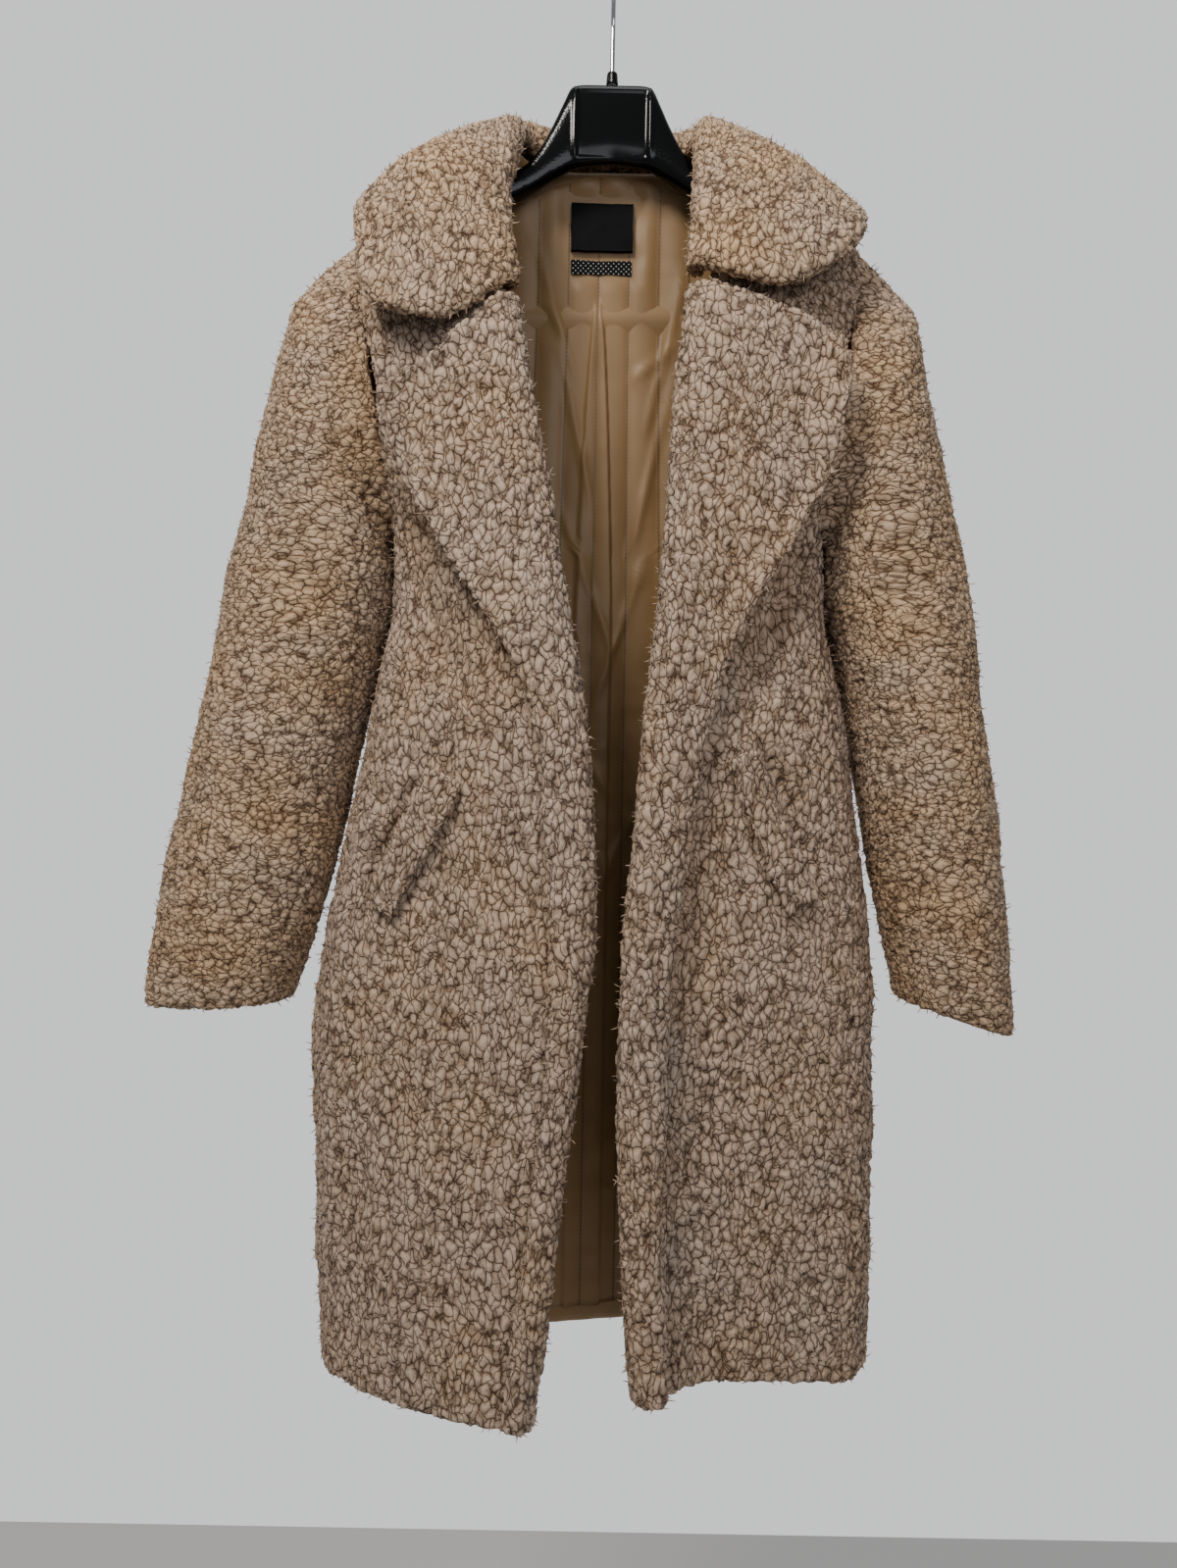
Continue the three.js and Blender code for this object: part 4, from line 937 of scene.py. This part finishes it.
# %% The hanger's body
HANGER_VOXEL_MM = 1.7
HANGER_ROUNDING = 9
PANEL = {
    "middle": 1 * MM, "half": 28 * MM, "top": -112 * MM, "low": -164 * MM, "deep": 1.2 * MM,
    "ease": 1.6 * MM, "front": 5 * MM}
RIB = {
    "rise": 1.6 * MM, "beside": 2.2 * MM, "wide": 1.5 * MM, "top": -108 * MM, "top_ease": 4 * MM,
    "low_ease": 6 * MM}
GRAIN_MM = 1.5
GRAIN = {"strength": 0.5, "beside": 5 * MM, "ease": 4 * MM}


def black_plastic(name):
    """Moulded polypropylene: glossy, with a pebble grain where the mesh says so."""
    material, tree, shader = new_material(name, {
        "Base Color": linear("#060708"), "Roughness": 0.16, "IOR": 1.49, "Specular IOR Level": 0.25})
    place = node(tree, "ShaderNodeTexCoord", {}).outputs["Object"]
    grain = node(tree, "ShaderNodeTexVoronoi", {
        "feature": "SMOOTH_F1", "Vector": place, "Scale": 1 / (GRAIN_MM * MM)})
    where = node(tree, "ShaderNodeAttribute", {"attribute_name": "grained"}).outputs["Fac"]
    bump = node(tree, "ShaderNodeBump", {
        "Strength": where, "Distance": 0.2 * MM, "Height": grain.outputs["Distance"]})
    tree.links.new(bump.outputs["Normal"], shader.inputs["Normal"])
    return material


net = even_net("hanger_body", HANGER_VOXEL_MM)
points = averaged(net, coordinates(net), HANGER_ROUNDING)
inside_x = PANEL["half"] - np.abs(points[:, 0] - PANEL["middle"])
above, below = points[:, 2] - PANEL["low"], PANEL["top"] - points[:, 2]
inside = eased(inside_x, PANEL["ease"]) * eased(below, PANEL["ease"]) * eased(above, PANEL["ease"])
rib = np.exp(-((inside_x + RIB["beside"]) / RIB["wide"]) ** 2) * eased(above, RIB["low_ease"])
rib = rib * eased(RIB["top"] - points[:, 2], RIB["top_ease"])
forward = np.clip(-points[:, 1] / PANEL["front"], 0, 1)
points[:, 1] += forward * (PANEL["deep"] * inside - RIB["rise"] * rib)
set_coordinates(net, points)
grained = GRAIN["strength"] * (1 - inside) * eased(-inside_x - GRAIN["beside"], GRAIN["ease"])
store(net, "grained", grained)
plastic = black_plastic("moulded_black_plastic")
net.materials.append(plastic)
hanger = show(bpy.data.objects.new("hanger_moulded", smooth_shaded(net)))
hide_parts("hanger_body")
print(hanger.name, "faces", len(net.polygons))

# %% [markdown]
# The hook is a round steel wire, bent on a former and chromed, so it shows one thin bright line
# between dark ones. It turns in a short ribbed collar. Both are rings of points joined in order: the
# collar's rings stand about the Z axis, and the hook's rings stand square to a line that runs up,
# forward and over to the back.

# %% The hook and its collar
WIRE_MM, BEND_MM = 2.0, 22.0
HOOK_SIDES, COLLAR_SIDES, COLLAR_RINGS = 24, 72, 16
STEM_TOP_MM, HANDLE_TOP_MM, HANDLE_MM = -58.0, -46.0, 8
BEND_START, BEND_END = -0.5, math.pi + 0.55
TAPER, ROUNDED, RIB_DEPTH, RIBS = 0.84, 0.06, 0.05, 18
PLAY_MM = 0.3


def ring_body(name, rings, material, node_name, round_again):
    """A closed surface through rings of points: capped at its ends, or joined back to its start."""
    count, sides = rings.shape[:2]
    i = np.arange(count if round_again else count - 1)[:, None] * sides
    after = (i + sides) % (count * sides)
    j, k = np.arange(sides)[None, :], (np.arange(sides)[None, :] + 1) % sides
    faces = np.stack([i + j, i + k, after + k, after + j], axis=2).reshape(-1, 4).tolist()
    if not round_again:
        faces += [list(range(sides))[::-1], list(range((count - 1) * sides, count * sides))]
    mesh = bpy.data.meshes.new(name)
    mesh.from_pydata(rings.reshape(-1, 3), [], faces)
    mesh.materials.append(material)
    made = show(bpy.data.objects.new(name, smooth_shaded(mesh)))
    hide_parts(node_name)
    print(made.name, "faces", len(faces))


def hook_line():
    """The wire's middle: straight up, a short sweep forward, then most of a circle to the back.

    The sweep is a Bezier curve. With t from 0 to 1 it mixes its start, two handles and its end by
    (1 - t) cubed, 3 t (1 - t) squared, 3 t squared (1 - t) and t cubed.
    """
    centre = -(BEND_MM - WIRE_MM)
    turn = np.linspace(BEND_START, BEND_END, 60)
    arc = np.stack([0 * turn, -BEND_MM * np.cos(turn), centre + BEND_MM * np.sin(turn)], axis=1)
    low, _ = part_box("hanger_hook")
    up = np.linspace(low.z / MM, STEM_TOP_MM, 12)
    t = np.linspace(0, 1, 14)[1:-1]
    start, end = np.array([0, 0, STEM_TOP_MM]), arc[0]
    a, b = np.array([0, 0, HANDLE_TOP_MM]), end - np.array([0, -0.48, 0.88]) * HANDLE_MM
    weights = np.stack([(1 - t) ** 3, 3 * t * (1 - t) ** 2, 3 * t * t * (1 - t), t ** 3], axis=1)
    sweep = weights @ np.stack([start, a, b, end])
    return np.concatenate([np.stack([0 * up, 0 * up, up], axis=1), sweep, arc])


line = hook_line()
ahead = np.gradient(line, axis=0)
ahead /= np.linalg.norm(ahead, axis=1)[:, None]
side = np.cross(ahead, np.array([1.0, 0.0, 0.0]))
turn = np.linspace(0, 2 * math.pi, HOOK_SIDES, endpoint=False)[None, :, None]
circle = np.cos(turn) * np.array([1.0, 0.0, 0.0]) - np.sin(turn) * side[:, None]
rings = line[:, None] + WIRE_MM * circle
chrome = new_material("chromed_steel", {
    "Base Color": linear("#d6d7d8"), "Metallic": 1.0, "Roughness": 0.14})[0]
ring_body("hook_wire", rings * MM, chrome, "hanger_hook", False)

low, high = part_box("hanger_ferrule")
heights = np.linspace(low.z, high.z, COLLAR_RINGS)
rounded_ends = 1 - ROUNDED * np.abs(np.linspace(-1, 1, COLLAR_RINGS)) ** 8
wide = np.linspace(high.x, high.x * TAPER, COLLAR_RINGS) * rounded_ends
turn = np.linspace(0, 2 * math.pi, COLLAR_SIDES, endpoint=False)
ribbed = 1 - RIB_DEPTH * (np.cos(RIBS * turn) > 0.2)
bore = (WIRE_MM + PLAY_MM) * MM
outer = [(r * ribbed, z) for r, z in zip(wide, heights)]
profile = outer + [(bore + 0 * turn, high.z), (bore + 0 * turn, low.z)]
rings = np.array([
    np.stack([r * np.cos(turn), r * np.sin(turn), z + 0 * turn], axis=1) for r, z in profile])
ring_body("hook_collar", rings, plastic, "hanger_ferrule", True)

# %% [markdown]
# The lamps are soft boxes. The largest hangs in front and above, so that the folds and the inside
# of the coat fall into shade below it. The world glows evenly from behind the coat and more weakly
# from in front, the floor is plain and pale, and the camera stands level with the coat's middle,
# close enough that the sleeves' insides show.

# %% Lights, floor and camera
def area_light(name, place_mm, aim_mm, size_mm, watts, colour):
    """A soft box: a square lamp at one place, turned towards another."""
    lamp = bpy.data.lights.new(name, "AREA")
    lamp.energy, lamp.size, lamp.color = watts, size_mm * MM, linear(colour)[:3]
    made = bpy.data.objects.new(name, lamp)
    made.location = Vector(place_mm) * MM
    made.rotation_euler = (Vector(aim_mm) - Vector(place_mm)).to_track_quat("-Z", "Y").to_euler()
    bpy.context.scene.collection.objects.link(made)


area_light("key", (-700, -1250, 800), (0, 0, -750), 500, 34, "#fff8f0")
area_light("fill", (450, -1500, -150), (0, 0, -600), 900, 9, "#f6f7ff")
area_light("top", (0, -450, 1200), (0, 0, -400), 700, 6, "#ffffff")

world = bpy.data.worlds.new("studio")
world.use_nodes = True
sky = world.node_tree.nodes["Background"]
sky.inputs["Color"].default_value = linear("#dfe0e2")
FRONT_GLOW, BACK_GLOW, FULL_FROM = 0.3, 1.22, 0.7
facing = node(world.node_tree, "ShaderNodeTexCoord", {})
depth = node(world.node_tree, "ShaderNodeSeparateXYZ", {"Vector": facing.outputs["Generated"]})
glow = node(world.node_tree, "ShaderNodeMapRange", {
    "Value": depth.outputs["Y"], "From Min": 0.0, "From Max": FULL_FROM,
    "To Min": FRONT_GLOW, "To Max": BACK_GLOW})
world.node_tree.links.new(glow.outputs[0], sky.inputs["Strength"])
bpy.context.scene.world = world

FLOOR_REACH, FLOOR_BELOW = 1.35, 1.0
FLOOR_CORNERS = ((-1, -1), (1, -1), (1, 1), (-1, 1))
floor_z = cad_low.z - FLOOR_BELOW
floor_points = [(x * FLOOR_REACH, y * FLOOR_REACH, floor_z) for x, y in FLOOR_CORNERS]
floor_mesh = bpy.data.meshes.new("floor")
floor_mesh.from_pydata(floor_points, [], [(0, 1, 2, 3)])
floor = bpy.data.objects.new("floor", floor_mesh)
bpy.context.scene.collection.objects.link(floor)
pale_floor = new_material("pale_floor", {"Base Color": linear("#d8d6d3"), "Roughness": 0.8})[0]
floor_mesh.materials.append(pale_floor)
floor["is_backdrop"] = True

EYE_MM = (-9, -950, -667)
EYE_ROLL = -1.02
SENSOR_MM = 36
# The lens, measured in pixels of the picture, and the picture's height.
LENS_PIXELS, PICTURE_PIXELS = 1201, 1599
camera = bpy.data.cameras.new("camera")
camera.sensor_width, camera.lens = SENSOR_MM, SENSOR_MM * LENS_PIXELS / PICTURE_PIXELS
eye = bpy.data.objects.new("camera", camera)
eye.location = [value * MM for value in EYE_MM]
eye.rotation_euler = (math.radians(90), math.radians(EYE_ROLL), 0)
bpy.context.scene.collection.objects.link(eye)
bpy.context.scene.camera = eye

# %% [markdown]
# The size of what shows is kept beside the size of the solids, to see that the pile stays on them.

# %% Sizes and finish
low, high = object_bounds()
print("shown reaches from", [round(v, 3) for v in low], "to", [round(v, 3) for v in high])
